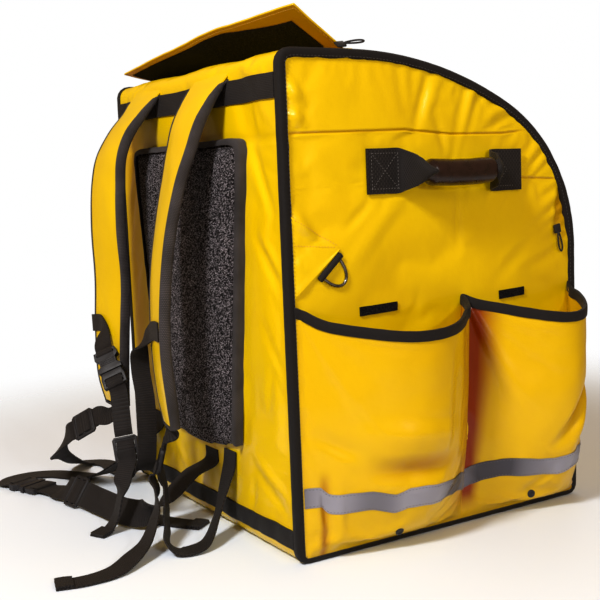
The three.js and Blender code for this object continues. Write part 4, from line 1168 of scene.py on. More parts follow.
# %% Pocket folds
POCKET_FOLDS = [
    {"from": (-124, 130), "to": (-22, 118), "reach": 20, "height": 4.0},
    {"from": (-128, 93), "to": (-30, 88), "reach": 20, "height": -9.0},
    {"from": (-168, 128), "to": (-126, 104), "reach": 12, "height": -3.0},
    {"from": (-165, 84), "to": (-161, 14), "reach": 7, "height": -6.0},
    {"from": (-153, 80), "to": (-150, 16), "reach": 9, "height": 3.0},
    {"from": (178, 176), "to": (112, 84), "reach": 11, "height": -7.5},
    {"from": (176, 150), "to": (128, 72), "reach": 11, "height": 5.0},
    {"from": (174, 112), "to": (140, 58), "reach": 9, "height": -4.5},
    {"from": (120, 64), "to": (84, 18), "reach": 9, "height": -3.4},
    {"from": (58, 200), "to": (52, 104), "reach": 13, "height": -3.0},
    {"from": (-22, 200), "to": (-34, 96), "reach": 14, "height": -4.5},
    {"from": (-60, 60), "to": (-34, 14), "reach": 12, "height": -3.0},
]


def divider_slant(y, down):
    """The divider leans to the rear towards its foot, and draws the cloth beside it along."""
    return 9 * down * near(y, DIVIDER, 110)


def pocket_painted_shade(y, z):
    """Painted shade: all over the pockets, deepest at the divider, shelf fold, rear pleat and front edge."""
    y += divider_slant(y, 1 - z / 250)
    before = 0.5 * ease((y + 26) / 40) if y < DIVIDER else 0.0
    wide = lerp(14, 34, ease((z - 40) / 160))
    behind = 0.95 * (1 - ease((y - 30) / wide)) if y >= DIVIDER else 0.0
    shelf = 0.4 * near(z, 92, 18) * near(y, -70, 66)
    pleat = 0.5 * near(y, -163, 7) * (1 - ease((z - 70) / 30))
    gap, t = from_line(y, z, POCKET_FOLDS[5])
    front = 0.2 * ease((y - 140) / 40) + 0.35 * near(gap, 0, 9) * hump(t)
    return min(1.0, 0.19 + (before + behind) * ease((z - 12) / 30) + shelf + pleat + front)


print("shade behind the divider:", round(pocket_painted_shade(24, 200), 2))


# %% Pocket cloth
def pocket_cloth(label, side, seed):
    columns, rows = POCKET_GRID

    def place(u, v):
        y = pocket_y(u)
        z = lerp(POCKET_FOOT, rim_z(y), v)
        loose = ease(pocket_reach(y) / 25) * hump(min(1, v * 1.1)) ** 0.5
        rise = loose * (2.2 * ripple(y, z, seed, 62) + 1.2 * ripple(y * 1.6, z, seed + 9, 30))
        rise += folds_rise(y, z, POCKET_FOLDS, 0.3)
        rise *= ease((abs(y - DIVIDER) - 4) / 30)
        return side * (pocket_x(y, z) + rise), y - divider_slant(y, 1 - v), z

    piece = grid_piece(f"pocket_cloth_{label}", columns, rows, place, facing=(side, 0, 0))
    spots = points_of(piece) / MM
    shares = np.tile(np.linspace(0, 1, columns + 1), rows + 1)
    seam = np.abs(np.interp(shares, POCKET_REACH, POCKET_Y) - 15) < 10
    sewn = (np.abs(spots[:, 1]) > 180) | (spots[:, 2] < 16) | seam
    settle(piece, sewn, pressure=0.1, slack=0.014, gravity=0.15, frames=16, cap=4.0, stiffness=8.0)
    return piece


print("pocket grid:", POCKET_GRID)


# %% Find a place on settled cloth
def cloth_surface(piece, columns):
    """Where a settled grid is: shares across and up to a point in millimetres and the way it faces."""
    lattice = lattice_of(piece, columns) / MM
    rows = len(lattice) - 1
    along = np.gradient(lattice, axis=1)
    up = np.gradient(lattice, axis=0)
    out = np.cross(along, up)
    out /= np.maximum(np.linalg.norm(out, axis=2, keepdims=True), 1e-9)
    middle = out[rows // 2, columns // 4]
    out *= math.copysign(1, middle[0] * lattice[rows // 2, columns // 4, 0])

    def at(u, v):
        a, b = min(max(u, 0), 1) * columns, min(max(v, 0), 1) * rows
        i, j = min(int(a), columns - 1), min(int(b), rows - 1)
        fa, fb = a - i, b - j
        corners = ((j, i, (1 - fa) * (1 - fb)), (j, i + 1, fa * (1 - fb)),
                   (j + 1, i, (1 - fa) * fb), (j + 1, i + 1, fa * fb))
        point = sum(lattice[q, p] * w for q, p, w in corners)
        way = unit(sum(out[q, p] * w for q, p, w in corners))
        return point, way

    return at


print("place finder ready")

# %% Both pockets
pockets = {"right": pocket_cloth("right", 1, 2.0), "left": pocket_cloth("left", -1, 44.0)}
pocket_at = {label: cloth_surface(piece, POCKET_GRID[0]) for label, piece in pockets.items()}
for label, piece in pockets.items():
    # Painted shade over the pockets: deeper by the divider, under the shelf fold, in the rear pleat and at
    # the front.
    mark_painted_shade(piece, [pocket_painted_shade(y, z) for x, y, z in points_of(piece) / MM])
    thicken(piece, 1.6)
    dress(piece, YELLOW, "yellow_pvc", f"pocket_{label}")

# %% [markdown]
# The mouth of the pockets is bound with the same black tape, folded over the edge. It is swept along the
# top of the settled cloth, so it follows every wave of it. The reflective stripe lies on the cloth lower
# down, stepping up a little towards the ends.

# %% Pocket tape
RIM_SECTION = [
    (10.0, 0.4), (9.6, 1.4), (5.0, 1.7), (1.2, 1.6), (-0.6, 1.0), (-1.0, -0.6), (-0.5, -2.2), (1.2, -3.0),
    (5.0, -3.1), (9.6, -2.9), (10.0, -2.0),
]


def pocket_tape(label):
    surface = pocket_at[label]
    columns, rows = len(RIM_SECTION), 190

    def place(u, v):
        point, out = surface(v, 1)
        lower, _ = surface(v, 0.93)
        down = unit(lower - point)
        drop, proud = RIM_SECTION[round(u * columns) % columns]
        wave = 0.25 * ripple(v * 400, drop, 3, 9)
        return point + down * (drop + wave) + out * proud

    piece = rolled_piece(f"pocket_tape_{label}", columns, rows, place)
    return dress(piece, TAPE, "black_tape", f"pocket_binding_{label}")


print("rim section:", len(RIM_SECTION), "points")

# %% Stripe
STRIPE_FOOT = (
    (-184, 57), (-167, 57), (-160, 50), (-120, 51), (-98, 47), (-84, 52), (-40, 50), (0, 48), (14, 43),
    (22, 40), (30, 44), (60, 50), (110, 48), (150, 53), (184, 57),
)


def stripe_share(u, height):
    y = pocket_y(u)
    level = float(np.interp(y, *zip(*STRIPE_FOOT))) + 1.2 * ripple(y, 4, 2, 20) + height
    return (level - POCKET_FOOT) / (rim_z(y) - POCKET_FOOT)


def stripe_cloth(label):
    surface = pocket_at[label]

    def place(u, v):
        share = lerp(0.006, 0.994, u)
        point, out = surface(share, stripe_share(share, 20 * v))
        return point + out * 0.9

    side = SIDES[label]
    piece = grid_piece(f"stripe_cloth_{label}", 170, 6, place, facing=(side, 0, 0))
    thicken(piece, 0.7)
    for height in (1.6, 18.4):
        path = []
        for share in np.linspace(0.01, 0.99, 120):
            point, out = surface(share, stripe_share(share, height))
            path.append(point + out * 1.0)
        stitch("grey", path, pitch=3.6, length=2.2, width=0.7)
    return dress(piece, STRIPE, "reflective_tape", f"reflective_stripe_{label}")


for label in pockets:
    pocket_tape(label)
    stripe_cloth(label)

# %% [markdown]
# ## Grab handles
# A strap of webbing is sewn down at both ends with a boxed cross, folded to half its width, and run through
# a soft tube. The strap is a ribbon with its own width at each row. The tube is a rolled grid, a little
# bowed by the hand that pulls it.

# %% Handle strap
HANDLE_ROWS = [
    (-96, 360, 405, 0.7), (-74, 360, 405, 0.7), (-57, 360, 405, 1.2), (-54, 362, 403, 6),
    (-50.5, 366, 398, 20), (-47, 370, 393, 32), (-43.5, 374.5, 387, 38.5), (-39, 378, 383, 40),
    (-31, 379, 382, 31), (5, 379, 382, 25), (36, 379, 382, 28), (46, 372, 389, 38), (52, 365, 394, 31),
    (58, 359.5, 398.5, 10), (65, 357, 401, 1.2), (86, 357, 401, 0.7), (107, 357, 401, 0.7),
]
GRIP_TUBE = {"z": 380.0, "x": 226.5, "from": -42.0, "to": 49.0, "radius": 13.4, "sides": 28}
HANDLE_FACE = 202.0


def handle_strap(label, side):
    run = spline([(y, low, high, off) for y, low, high, off in HANDLE_ROWS])

    def place(u, v):
        y, low, high, off = run(v)
        z = lerp(low, high, u)
        cloth = max(HANDLE_FACE, abs(on_side(label, y, z)[0]))
        fold = -7.0 * (2 * u - 1) ** 2 * ease((off - 20) / 16)
        return side * (lerp(cloth, HANDLE_FACE, ease(off / 8)) + max(0.5, off) + fold + 1.2), y, z

    piece = grid_piece(f"handle_strap_{label}", 18, 96, place, facing=(side, 0, 0))
    thicken(piece, 2.4, offset=0)
    return dress(piece, WEBBING, "black_webbing", f"handle_web_{label}")


print("handle rows:", len(HANDLE_ROWS))


# %% Handle tube
def handle_tube(label, side):
    sides, rows = GRIP_TUBE["sides"], 40

    def place(u, v):
        y = lerp(GRIP_TUBE["from"], GRIP_TUBE["to"], v)
        bow = 1.6 * hump(v)
        end = 1 - 0.3 * (1 - ease(min(v, 1 - v) / 0.09))
        radius = GRIP_TUBE["radius"] * end + 0.25 * ripple(y, u * 9, 4, 12)
        angle = whole_turn(u, sides)
        x = GRIP_TUBE["x"] + bow * 0.5 + radius * math.cos(angle)
        return side * x, y, GRIP_TUBE["z"] - bow + radius * math.sin(angle)

    piece = rolled_piece(f"handle_tube_{label}", sides, rows, place)
    return dress(piece, GRIP, "grip_rubber", f"handle_grip_{label}")


print("tube radius:", GRIP_TUBE["radius"], "mm")


# %% Handles and their sewing
def box_stitch(low, high, inset=5):
    (y0, z0), (y1, z1) = (low[0] + inset, low[1] + inset), (high[0] - inset, high[1] - inset)
    corners = [(y0, z0), (y1, z0), (y1, z1), (y0, z1)]
    rows = [straight(corners[k], corners[(k + 1) % 4]) for k in range(4)]
    return [*rows, straight(corners[0], corners[2]), straight(corners[1], corners[3])]


for label, side in SIDES.items():
    handle_strap(label, side)
    handle_tube(label, side)
    for low, high in (((-96, 360), (-54, 405)), ((65, 357), (107, 401))):
        for row in box_stitch(low, high):
            path = [on_side(label, y, z, 3.7) for y, z in row]
            stitch("grey", path, pitch=3.4, length=1.8, width=0.6)

# %% [markdown]
# ## D-rings
# A triangle of cloth is sewn into the rear edge, and along its slanting side a loop of webbing holds a
# steel ring that can swing outwards. The ring is a closed bar bent to a D. It rides on its own body, so it
# moves in the poses, while its tab and loop stay on the bag.

# %% Ring tab
TAB = {"rear": -183.0, "top": 343.0, "foot": 264.0, "tip": (-132.0, 309.0)}
EDGE = unit((0, TAB["rear"] + 2 - TAB["tip"][0], TAB["foot"] - TAB["tip"][1]))
OUT = np.array((0, -EDGE[2], EDGE[1]))
RING = {"half": 13.0, "reach": 23.0, "wire": 1.5}
RING_AXIS = np.array((205.314, -143.619, 292.084))


def ring_tab(label, side):
    def place(u, v):
        foot, top = np.array((TAB["rear"], TAB["foot"])), np.array((TAB["rear"], TAB["top"]))
        rear = lerp(foot, top, v)
        y, z = lerp(rear, np.array(TAB["tip"]), u * 0.995)
        lift = 1.6 + 0.5 * ripple(y, z, 5, 16) + 0.8 * near(v, 0, 0.2) * u
        return on_side(label, y, z, lift - 0.9 * (1 - ease((y - TAB["rear"]) / 8)))

    piece = grid_piece(f"ring_tab_cloth_{label}", 26, 34, place, facing=(side, 0, 0))
    thicken(piece, 1.8, offset=0)
    for start, stop in (((-180, 315), (-137, 311)), ((-180, 339), (-136, 313))):
        row = [on_side(label, y, z, 2.7) for y, z in straight(start, stop, 4)]
        stitch("yellow", row, pitch=3.2, length=2.0, width=0.7)
    return dress(piece, YELLOW, "yellow_pvc", f"ring_tab_{label}")


print("the slanting edge runs", EDGE.round(2))


# %% Ring loop
def ring_loop(label, side):
    def place(u, v):
        angle = whole_turn(u, 20)
        bulge = 3.3 + 0.15 * ripple(v * 30, u * 8, 2, 3)
        middle = RING_AXIS + EDGE * lerp(-17, 17, v)
        x, y, z = middle + bulge * (math.cos(angle) * np.array((1, 0, 0)) * 0.8 + math.sin(angle) * OUT)
        return side * x, y, z

    piece = rolled_piece(f"ring_loop_webbing_{label}", 20, 24, place)
    return dress(piece, WEBBING, "black_webbing", f"ring_loop_{label}")


print("ring axis at", RING_AXIS)


# %% Ring wire
def ring_path(t):
    """The D: a straight bar, rounded corners and a bow."""
    half, reach = RING["half"], RING["reach"]
    points = [(-half, 0), (0, 0), (half, 0)]
    points += [(half * math.cos(a), reach * math.sin(a)) for a in np.radians(np.arange(15, 180, 15))]
    line = np.array([*points, points[0]], float)
    travelled = distances(line)
    return np.array([np.interp(t * travelled[-1], travelled, line[:, k]) for k in range(2)])


def ring_wire(label, side):
    steps, sides = 96, 12

    def place(u, v):
        t = (round(v * steps) % steps) / steps
        here = (ring_path((t + 0.012) % 1) + ring_path((t - 0.012) % 1) + 2 * ring_path(t)) / 4
        ahead = ring_path((t + 0.012) % 1) - ring_path((t - 0.012) % 1)
        outward = np.array((ahead[1], -ahead[0])) / np.linalg.norm(ahead)
        angle = whole_turn(u, sides)
        along, out = here + outward * RING["wire"] * math.cos(angle)
        point = RING_AXIS + EDGE * along + OUT * out
        return side * (point[0] + RING["wire"] * math.sin(angle)), point[1], point[2]

    piece = rolled_piece(f"ring_wire_{label}", sides, steps, place)
    return dress(piece, STEEL, "dark_steel", f"d_ring_{label}", body=f"d_ring_{label}")


for label, side in SIDES.items():
    ring_tab(label, side)
    ring_loop(label, side)
    ring_wire(label, side)

# %% [markdown]
# ## Top flap
# The flap is sewn to the lid's rear edge and stands open over the top strip, higher on the right. It is one
# stiff sheet, hemmed all round, with a patch of hook tape underneath. A slow wave along the free edge is
# what tells cloth from card.

# %% Flap
FLAP = {"root": -98.0, "bend": -110.0, "length": 84.0, "lift": 0.7, "half": (190.0, 199.0)}
FLAP_RISE = ((-200, 13), (-100, 20), (0, 30), (100, 33), (200, 33))


def flap_point(x, v, lift, wave=1.0):
    angle = math.radians(np.interp(x, *zip(*FLAP_RISE)))
    root = FLAP["root"] - FLAP["bend"]
    run = max(0.0, v * FLAP["length"] - root)
    y = FLAP["root"] - min(root, v * FLAP["length"]) - run * math.cos(angle)
    z = TALL + FLAP["lift"] + run * math.sin(angle)
    lift += wave * ease(run / 60) * (2.2 * ripple(x, 0, 7, 75) + 0.8 * ripple(x, v * 60, 3, 28))
    share = ease(run / 12)
    return x, y + lift * math.sin(angle) * share, z + lift * lerp(1, math.cos(angle), share)


def flap_place(u, v):
    return flap_point(lerp(-1, 1, u) * lerp(*FLAP["half"], v), v, 1.2)


flap_cloth = grid_piece("flap_cloth", 110, 34, flap_place, facing=(0, 0, 1))
thicken(flap_cloth, 2.4, offset=0)
use_modifier(flap_cloth, "BEVEL", width=0.8 * MM, segments=2, limit_method="ANGLE")
# Painted shade on the underside of the flap, where it faces down.
mark_painted_shade(flap_cloth, [0.6 * ease(-v.normal.z / 0.6) for v in flap_cloth.data.vertices])
dress(flap_cloth, YELLOW, "yellow_pvc", "top_flap")


print("flap length:", FLAP["length"], "mm")


# %% Hook patch and hem
def patch_place(u, v):
    x = lerp(-188, 170, u)
    return flap_point(x, lerp(0.27, lerp(0.91, 0.78, ease((x - 20) / 150)), v), -0.9)


flap_patch = grid_piece("flap_hook_patch", 100, 16, patch_place, facing=(0, 0, -1))
thicken(flap_patch, 1.3)
dress(flap_patch, HOOKS, "black_mesh", "flap_patch")
for lift in (2.5, -0.1):
    hem = [(-0.985, 0.2), *[(s, 0.95) for s in np.linspace(-0.985, 0.985, 60)], (0.985, 0.2)]
    stitch("yellow", [flap_point(s * lerp(*FLAP["half"], v), v, lift) for s, v in hem], pitch=4.4, length=3.0)

# %% [markdown]
# ## Back cushion, yoke and hem
# The cushion is a foam slab in black mesh. It is a copy of its solid, remeshed into even small faces,
# swollen by the cloth tool and subdivided once. The webbing band above it and the tape at the foot are
# plain strips.

# %% Cushion
def solid_copy(node, name):
    """A separate copy of a CAD solid, with its loose triangles merged."""
    piece = bpy.data.objects.new(name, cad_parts[node].data.copy())
    bpy.context.scene.collection.objects.link(piece)
    edit(
        piece,
        lambda: bpy.ops.mesh.remove_doubles(threshold=0.00001),
        lambda: bpy.ops.mesh.select_all(action="SELECT"),
        lambda: bpy.ops.mesh.dissolve_limited(angle_limit=math.radians(2)),
    )
    return piece


cushion = solid_copy("back_pad", "back_cushion")
use_modifier(cushion, "REMESH", mode="VOXEL", voxel_size=5 * MM)
sewn = points_of(cushion)[:, 1] > -0.1965
settle(cushion, sewn, pressure=4.0, frames=16, cap=5.0)
use_modifier(cushion, "SMOOTH", factor=0.5, iterations=3)
use_modifier(cushion, "SUBSURF", levels=1, render_levels=1)
dress(cushion, MESH, "black_mesh", "back_pad", angle=60)

# %% Cushion edging
CUSHION = {"half": 135.0, "taper": 42.0, "foot": 102.0, "top": 419.0}
cushion_line = [
    (CUSHION["half"] - CUSHION["taper"], CUSHION["foot"]), (CUSHION["half"] - 2, CUSHION["top"] - 12),
    (CUSHION["half"] - 6, CUSHION["top"] - 2), (CUSHION["half"] - 16, CUSHION["top"]), (0, CUSHION["top"]),
]
cushion_line += [(-x, z) for x, z in cushion_line[-2::-1]]
cushion_reach = distances(cushion_line)
EDGING_SECTION = [(0, 0.6), (0, 4.5), (-0.2, 8.2), (0.6, 10.0), (2.0, 11.0), (4.5, 11.6)]
EDGING_TURN = np.linspace(0, 1, len(EDGING_SECTION))


def edging_place(u, v):
    spot = v * cushion_reach[-1]
    x, z = (np.interp(spot, cushion_reach, column) for column in zip(*cushion_line))
    wave = 0.7 * ripple(spot, 3, 5, 14)
    inset, proud = (np.interp(u, EDGING_TURN, column) for column in zip(*EDGING_SECTION))
    grow = 1 + (0.9 + wave - inset) / 130
    return x * grow, -190 - proud - 0.5 * wave, 260 + (z - 260) * grow


edging = grid_piece("cushion_edging", 5, 220, edging_place, facing=(0, 0, 1))
thicken(edging, 1.6, offset=0)
dress(edging, EDGING, "black_tape")


# %% Yoke band and hem tape
def strip_on_back(name, foot, top, proud):
    def place(u, v):
        x, z = lerp(-193, 193, u), lerp(foot, top, v)
        sag = 0.8 * ripple(x, 0, proud, 45)
        return on_back(x, z + sag, proud + 0.3 * ripple(x, z, 2, 30))

    piece = grid_piece(name, 120, 6, place, facing=(0, -1, 0))
    thicken(piece, 1.6)
    return piece


dress(strip_on_back("yoke_webbing", 455, 479, 1.9), WEBBING, "black_webbing", "yoke_band")
dress(strip_on_back("hem_tape", 15, 34, 1.5), TAPE, "black_tape", "hem_band")

# %% [markdown]
# ## Shoulder straps
# Each strap is a sandwich: a yellow cover outside, spacer mesh against the wearer, and tape folded over
# both edges and round the lower end. The table gives, from the top down, its height, middle, width and how
# far each edge stands off the back. All three layers are laid along the same frame.

# %% Strap tables
STRAPS = {
    "left": [
        (492, -103, 76, 5.2, 5.2, 0.4), (478, -104, 76, 9, 9, 0.5), (462, -105, 75, 24, 19, 0.8),
        (440, -104, 76, 44, 38, 1), (412, -103, 78, 57, 55, 1), (380, -102, 79, 61, 63, 1),
        (330, -102, 78, 63, 67, 1), (270, -102, 76, 61, 67, 1), (210, -101, 75, 66, 71, 1),
        (155, -103, 66, 67, 72, 1), (120, -106, 50, 63, 66, 0.9),
    ],
    "right": [
        (492, 62, 76, 5.2, 5.2, 0.4), (478, 62, 76, 9, 9, 0.5), (462, 62, 75, 19, 22, 0.8),
        (440, 62, 74, 31, 37, 1), (412, 62, 74, 39, 49, 1), (380, 62, 72, 47, 62, 1),
        (330, 62, 68, 59, 75, 1), (270, 62, 62, 69, 83, 1), (210, 62, 56, 72, 85, 1),
        (160, 62, 50, 70, 80, 1), (126, 62, 42, 66, 75, 0.9),
    ],
}


def strap_frame(label):
    """A strap's middle line, the way across it, its face, its share of thickness and its width."""
    outwards = SIDES[label]
    table = STRAPS[label]
    middle = spline([(x, -HALF_DEPTH - (inner + outer) / 2, z) for z, x, w, inner, outer, body in table])
    across = spline([(outwards * w, inner - outer, 0) for z, x, w, inner, outer, body in table])
    body = spline([(share, w, z) for z, x, w, inner, outer, share in table])

    def at(v):
        side = unit(across(v))
        face = unit(np.cross(side, heading(middle, v)) * -outwards)
        share, width, _ = body(v)
        return middle(v), side, face, share, width

    return at


print("straps:", {label: len(table) for label, table in STRAPS.items()}, "rows")

# %% Strap sections
STRAP = {"rows": 120, "length": 372.0, "tip": 5.0, "root": 0.14, "sink": 7.0}
STRAP_TIP = 1 - STRAP["tip"] / STRAP["length"]
PAD_SECTION = [
    (-0.98, -2.2), (-0.5, -2.0), (0, -1.9), (0.5, -2.0), (0.98, -2.2), (1, -4.5), (0.98, -7.5), (0.85, -9.4),
    (0.5, -10.6), (0, -11.2), (-0.5, -10.6), (-0.85, -9.4), (-0.98, -7.5), (-1, -4.5),
]
EDGE_SECTION = [
    (5.0, 0.3), (4.7, 1.1), (2.8, 1.5), (0.9, 0.9), (-0.2, -0.8), (-0.6, -4.0), (-0.2, -7.2), (0.8, -9.4),
    (2.6, -10.4), (4.6, -10.6), (5.0, -9.6),
]


def strap_sink(v):
    """How far the top of a strap is drawn into the seam that holds it."""
    return STRAP["sink"] * (1 - ease(v / STRAP["root"]))


print("strap sections:", len(PAD_SECTION), "and", len(EDGE_SECTION), "points")


# %% Strap cover and pad
def strap_cover(label, seed):
    at = strap_frame(label)

    def place(u, v):
        point, side, face, share, width = at(v * STRAP_TIP)
        s = lerp(-1, 1, u)
        down = v * STRAP["length"]
        crease = 0.7 * ripple(s * 30, down, seed, 26) + 0.6 * ripple(s * 18, down, seed + 5, 60)
        lift = (0.4 + 1.6 * (1 - s * s) + crease * (1 - s ** 4)) * share - strap_sink(v)
        return point + side * s * (width / 2 - 1) + face * lift

    piece = grid_piece(f"strap_cover_cloth_{label}", 20, STRAP["rows"], place, facing=(0, -1, 0))
    thicken(piece, 1.4)
    dress(piece, YELLOW, "yellow_pvc", f"strap_cover_{label}")


def strap_pad(label, seed):
    at = strap_frame(label)
    columns = len(PAD_SECTION)

    def place(u, v):
        point, side, face, share, width = at(lerp(STRAP["root"], STRAP_TIP, v))
        s, lift = PAD_SECTION[round(u * columns) % columns]
        crease = 0.8 * ripple(s * 30, v * STRAP["length"], seed, 24) if lift < -9 else 0
        return point + side * s * (width / 2 - 1.6) + face * (lift + crease) * share

    piece = rolled_piece(f"strap_pad_mesh_{label}", columns, STRAP["rows"], place)
    dress(piece, MESH, "black_mesh", f"strap_pad_{label}")


print("strap rows:", STRAP["rows"])


# %% Strap tape
def strap_tape(label):
    at = strap_frame(label)
    columns = len(EDGE_SECTION)
    end = 0.057
    down = unit(at(1)[0] - at(0.97)[0])

    def rim(v):
        """Down one edge, round the lower end, and up the other."""
        travel = v * 2 - 1
        if abs(travel) > end:
            down_strap = lerp(1, 0, (abs(travel) - end) / (1 - end))
            point, side, face, share, width = at(down_strap)
            turn = math.copysign(1, travel)
            grown = lerp(0.2, 1, ease((down_strap - 0.03) / 0.1))
            under = strap_sink(down_strap) + 4 * (1 - ease((down_strap - 0.06) / 0.05))
            return point + side * turn * width / 2 - face * under, -side * turn, face, share * grown
        point, side, face, share, width = at(1)
        turn = travel / end
        spot = point + side * turn * width / 2 + down * (2.5 * (1 - turn * turn))
        return spot, unit(-down * (1 - abs(turn)) - side * turn * abs(turn)), face, share

    def place(u, v):
        spot, inward, face, share = rim(v)
        across, lift = EDGE_SECTION[round(u * columns) % columns]
        wave = 0.5 * ripple(v * 800, across, 6, 9)
        across += wave if across > 4.4 else 0.3 * wave
        return spot + inward * across * min(1, 0.3 + share) + face * lift * share

    piece = rolled_piece(f"strap_tape_{label}", columns, 2 * STRAP["rows"], place)
    return dress(piece, EDGING, "black_tape", f"strap_binding_{label}")


for label in STRAPS:
    seed = 3.0 if label == "left" else 19.0
    strap_cover(label, seed)
    strap_pad(label, seed + 2)
    strap_tape(label)

# %% [markdown]
# ## Buckles and adjusters
# The moulded pieces keep their CAD shapes, which are right, but real mouldings have rounded edges and a few
# ribs for the thumb. Each is copied, its edges are bevelled, and ribs are added on its face.

# %% Hardware places
LOWER_WEB, CHEST_WEB, WAIST_WEB = 25.0, 20.0, 30.0
SEATS = {
    "chest_buckle": {"at": (-62, -272, 168), "along": (-0.66, 0, 0.75), "facing": (0.84, -0.5, 0.12)},
    "chest_slide": {"at": (-22, -276, 88), "along": (-0.3, 0, 0.95), "facing": (0.84, -0.5, 0.12)},
    "lock_left": {"at": (-136, -284, 96), "along": (0.6, 0.64, 0.48), "facing": (0.5, -0.6, 0.6)},
    "lock_right": {"at": (46, -262, 94), "along": (0.44, 0, 0.9), "facing": (-0.51, -0.85, 0.1)},
    "waist_slide": {"at": (-131, -300, 17), "along": (-0.97, -0.2, 0), "facing": (0.1, -0.8, 0.6)},
    "waist_buckle": {"at": (-226, -322, 5), "along": (-0.91, -0.41, 0), "facing": (0, 0, 1)},
}


def seat_frame(name):
    """A moulding's middle, and the ways across it, along it and out of its face."""
    seat = SEATS[name]
    along = unit(seat["along"])
    facing = np.array(seat["facing"], float)
    facing = unit(facing - along * (facing @ along))
    return np.array(seat["at"], float), np.cross(along, facing), along, facing


print("seats:", ", ".join(SEATS))


# %% Mouldings
HARDWARE = {
    "chest_socket": ("chest_buckle", CHEST_WEB), "chest_prong": ("chest_buckle", CHEST_WEB),
    "chest_adjuster": ("chest_slide", CHEST_WEB), "strap_lock_left": ("lock_left", LOWER_WEB),
    "strap_lock_right": ("lock_right", LOWER_WEB), "waist_adjuster": ("waist_slide", WAIST_WEB),
    "waist_socket": ("waist_buckle", WAIST_WEB), "waist_prong": ("waist_buckle", WAIST_WEB),
}


def rib_on(seat, web, y, face, height):
    """One rounded bar across a moulding, as a separate small piece to join."""
    middle, across, along, facing = seat_frame(seat)
    rib = new_block((web + 3, 1.8, height))
    use_modifier(rib, "BEVEL", width=0.6 * MM, segments=2)
    turn = np.stack([across, along, facing], axis=1)
    move_points(rib, points_of(rib) @ turn.T + (middle + along * y + facing * face) * MM)
    return rib


def join_into(piece, extras):
    bpy.ops.object.select_all(action="DESELECT")
    for extra in extras:
        extra.select_set(True)
    piece.select_set(True)
    bpy.context.view_layer.objects.active = piece
    bpy.ops.object.join()
    return piece


for node, (seat, web) in HARDWARE.items():
    piece = solid_copy(node, f"{node}_moulding")
    use_modifier(piece, "BEVEL", width=0.8 * MM, segments=3, limit_method="ANGLE",
                 angle_limit=math.radians(30))
    if node.endswith("socket"):
        ribs = [rib_on(seat, web - 6, y, 4.0, 1.2) for y in (11, 13.5, 16)]
    elif node.endswith("prong"):
        ribs = [rib_on(seat, web, -11, 3.0, 1.6)]
    else:
        ribs = [rib_on(seat, web, y, face, 1.4) for y in (-0.8, 12.2, -12.2) for face in (1.6, -1.6)]
    join_into(piece, ribs)
    dress(piece, PLASTIC, "dark_plastic", node, angle=35)

# %% [markdown]
# ## Webbing
# All loose straps are flat nylon. Each row of a route gives a point and the direction across the webbing,
# and where a strap leaves a buckle it first runs straight out of the slot. Ends are folded over and sewn,
# so they look thick and square.

# %% Routes of the chest strap
SOCKET_END, PRONG_END, SLIDE_END, LOCK_END = 29.0, -18.0, 14.0, 15.0


def leads(seat, end):
    middle, across, along, facing = seat_frame(seat)
    return [(middle + along * (end + math.copysign(clear, end)), across) for clear in (0.6, 7)]


def face_leads(seat, side):
    middle, across, along, facing = seat_frame(seat)
    return [(middle + along * shift + facing * side * 3.2, across) for shift in (-2, -12)]


CHEST_TAB_LEFT = [
    ((-139, -263.2, 217), (0, 0, 1)), ((-114, -261.8, 218), (0.05, 0, 1)),
    ((-100, -266, 210), (0.35, 0.45, 0.8)),
]
CHEST_WEB_RIGHT = [
    ((-6, -266, 66), (0.35, 0.93, 0)), ((8, -265.5, 78), (0.35, 0.93, 0)),
    ((14, -265, 104), (0.35, 0.93, 0)), ((18, -266, 147), (0.4, 0.92, 0)),
    ((16, -269, 183), (0.4, 0.9, 0.2)), ((24, -271, 208), (0.1, 0.7, 0.7)),
    ((42, -267.4, 223), (-0.2, 0.2, 0.96)), ((62, -270.9, 229), (0, 0, 1)), ((84, -275.2, 230), (0, 0, 1)),
]
CHEST_TAIL = [
    ((-6.5, -288, 60), (0.6, 0.75, 0.1)), ((-7.5, -292, 41), (0.98, -0.1, 0.1)),
    ((-10, -298, 17), (1, -0.1, 0)), ((-12, -306, 4.4), (1, 0, 0)), ((-10, -314, 1.8), (0.95, 0.2, 0)),
    ((-6, -322, 1.4), (0.9, 0.35, 0)),
]
print("chest strap routes ready")

# %% Routes of the lower straps
STRAP_END_LEFT = [
    ((-109, -250.4, 118.6), (1, 0, 0)), ((-109.5, -251, 113), (1, 0, -0.1)),
    ((-115, -261, 106), (0.85, -0.1, -0.5)),
]
LOWER_LEFT = [
    ((-166, -301, 71), (0.5, -0.55, -0.6)), ((-205, -295, 47), (0.1, -0.95, -0.3)),
    ((-250, -270, 27), (-0.5, -0.85, 0)), ((-284, -243, 8), (-0.65, -0.75, 0)),
    ((-298, -221, 2), (-1, 0, 0)), ((-282, -207, 1.8), (-0.3, 0.95, 0)), ((-240, -207, 1.8), (0, 1, 0)),
    ((-204, -207, 10), (-0.1, 0.98, 0.1)), ((-184, -206, 36), (-0.7, 0.65, 0.2)),
    ((-173, -197, 64), (-0.97, 0.2, 0.1)), ((-171, -192, 82), (-1, 0, 0)),
    ((-171, -191.6, 100), (-1, 0, 0)),
]
STRAP_END_RIGHT = [((61, -256, 124.6), (1, -0.15, 0)), ((60.6, -256.4, 119.5), (0.95, 0.2, 0))]
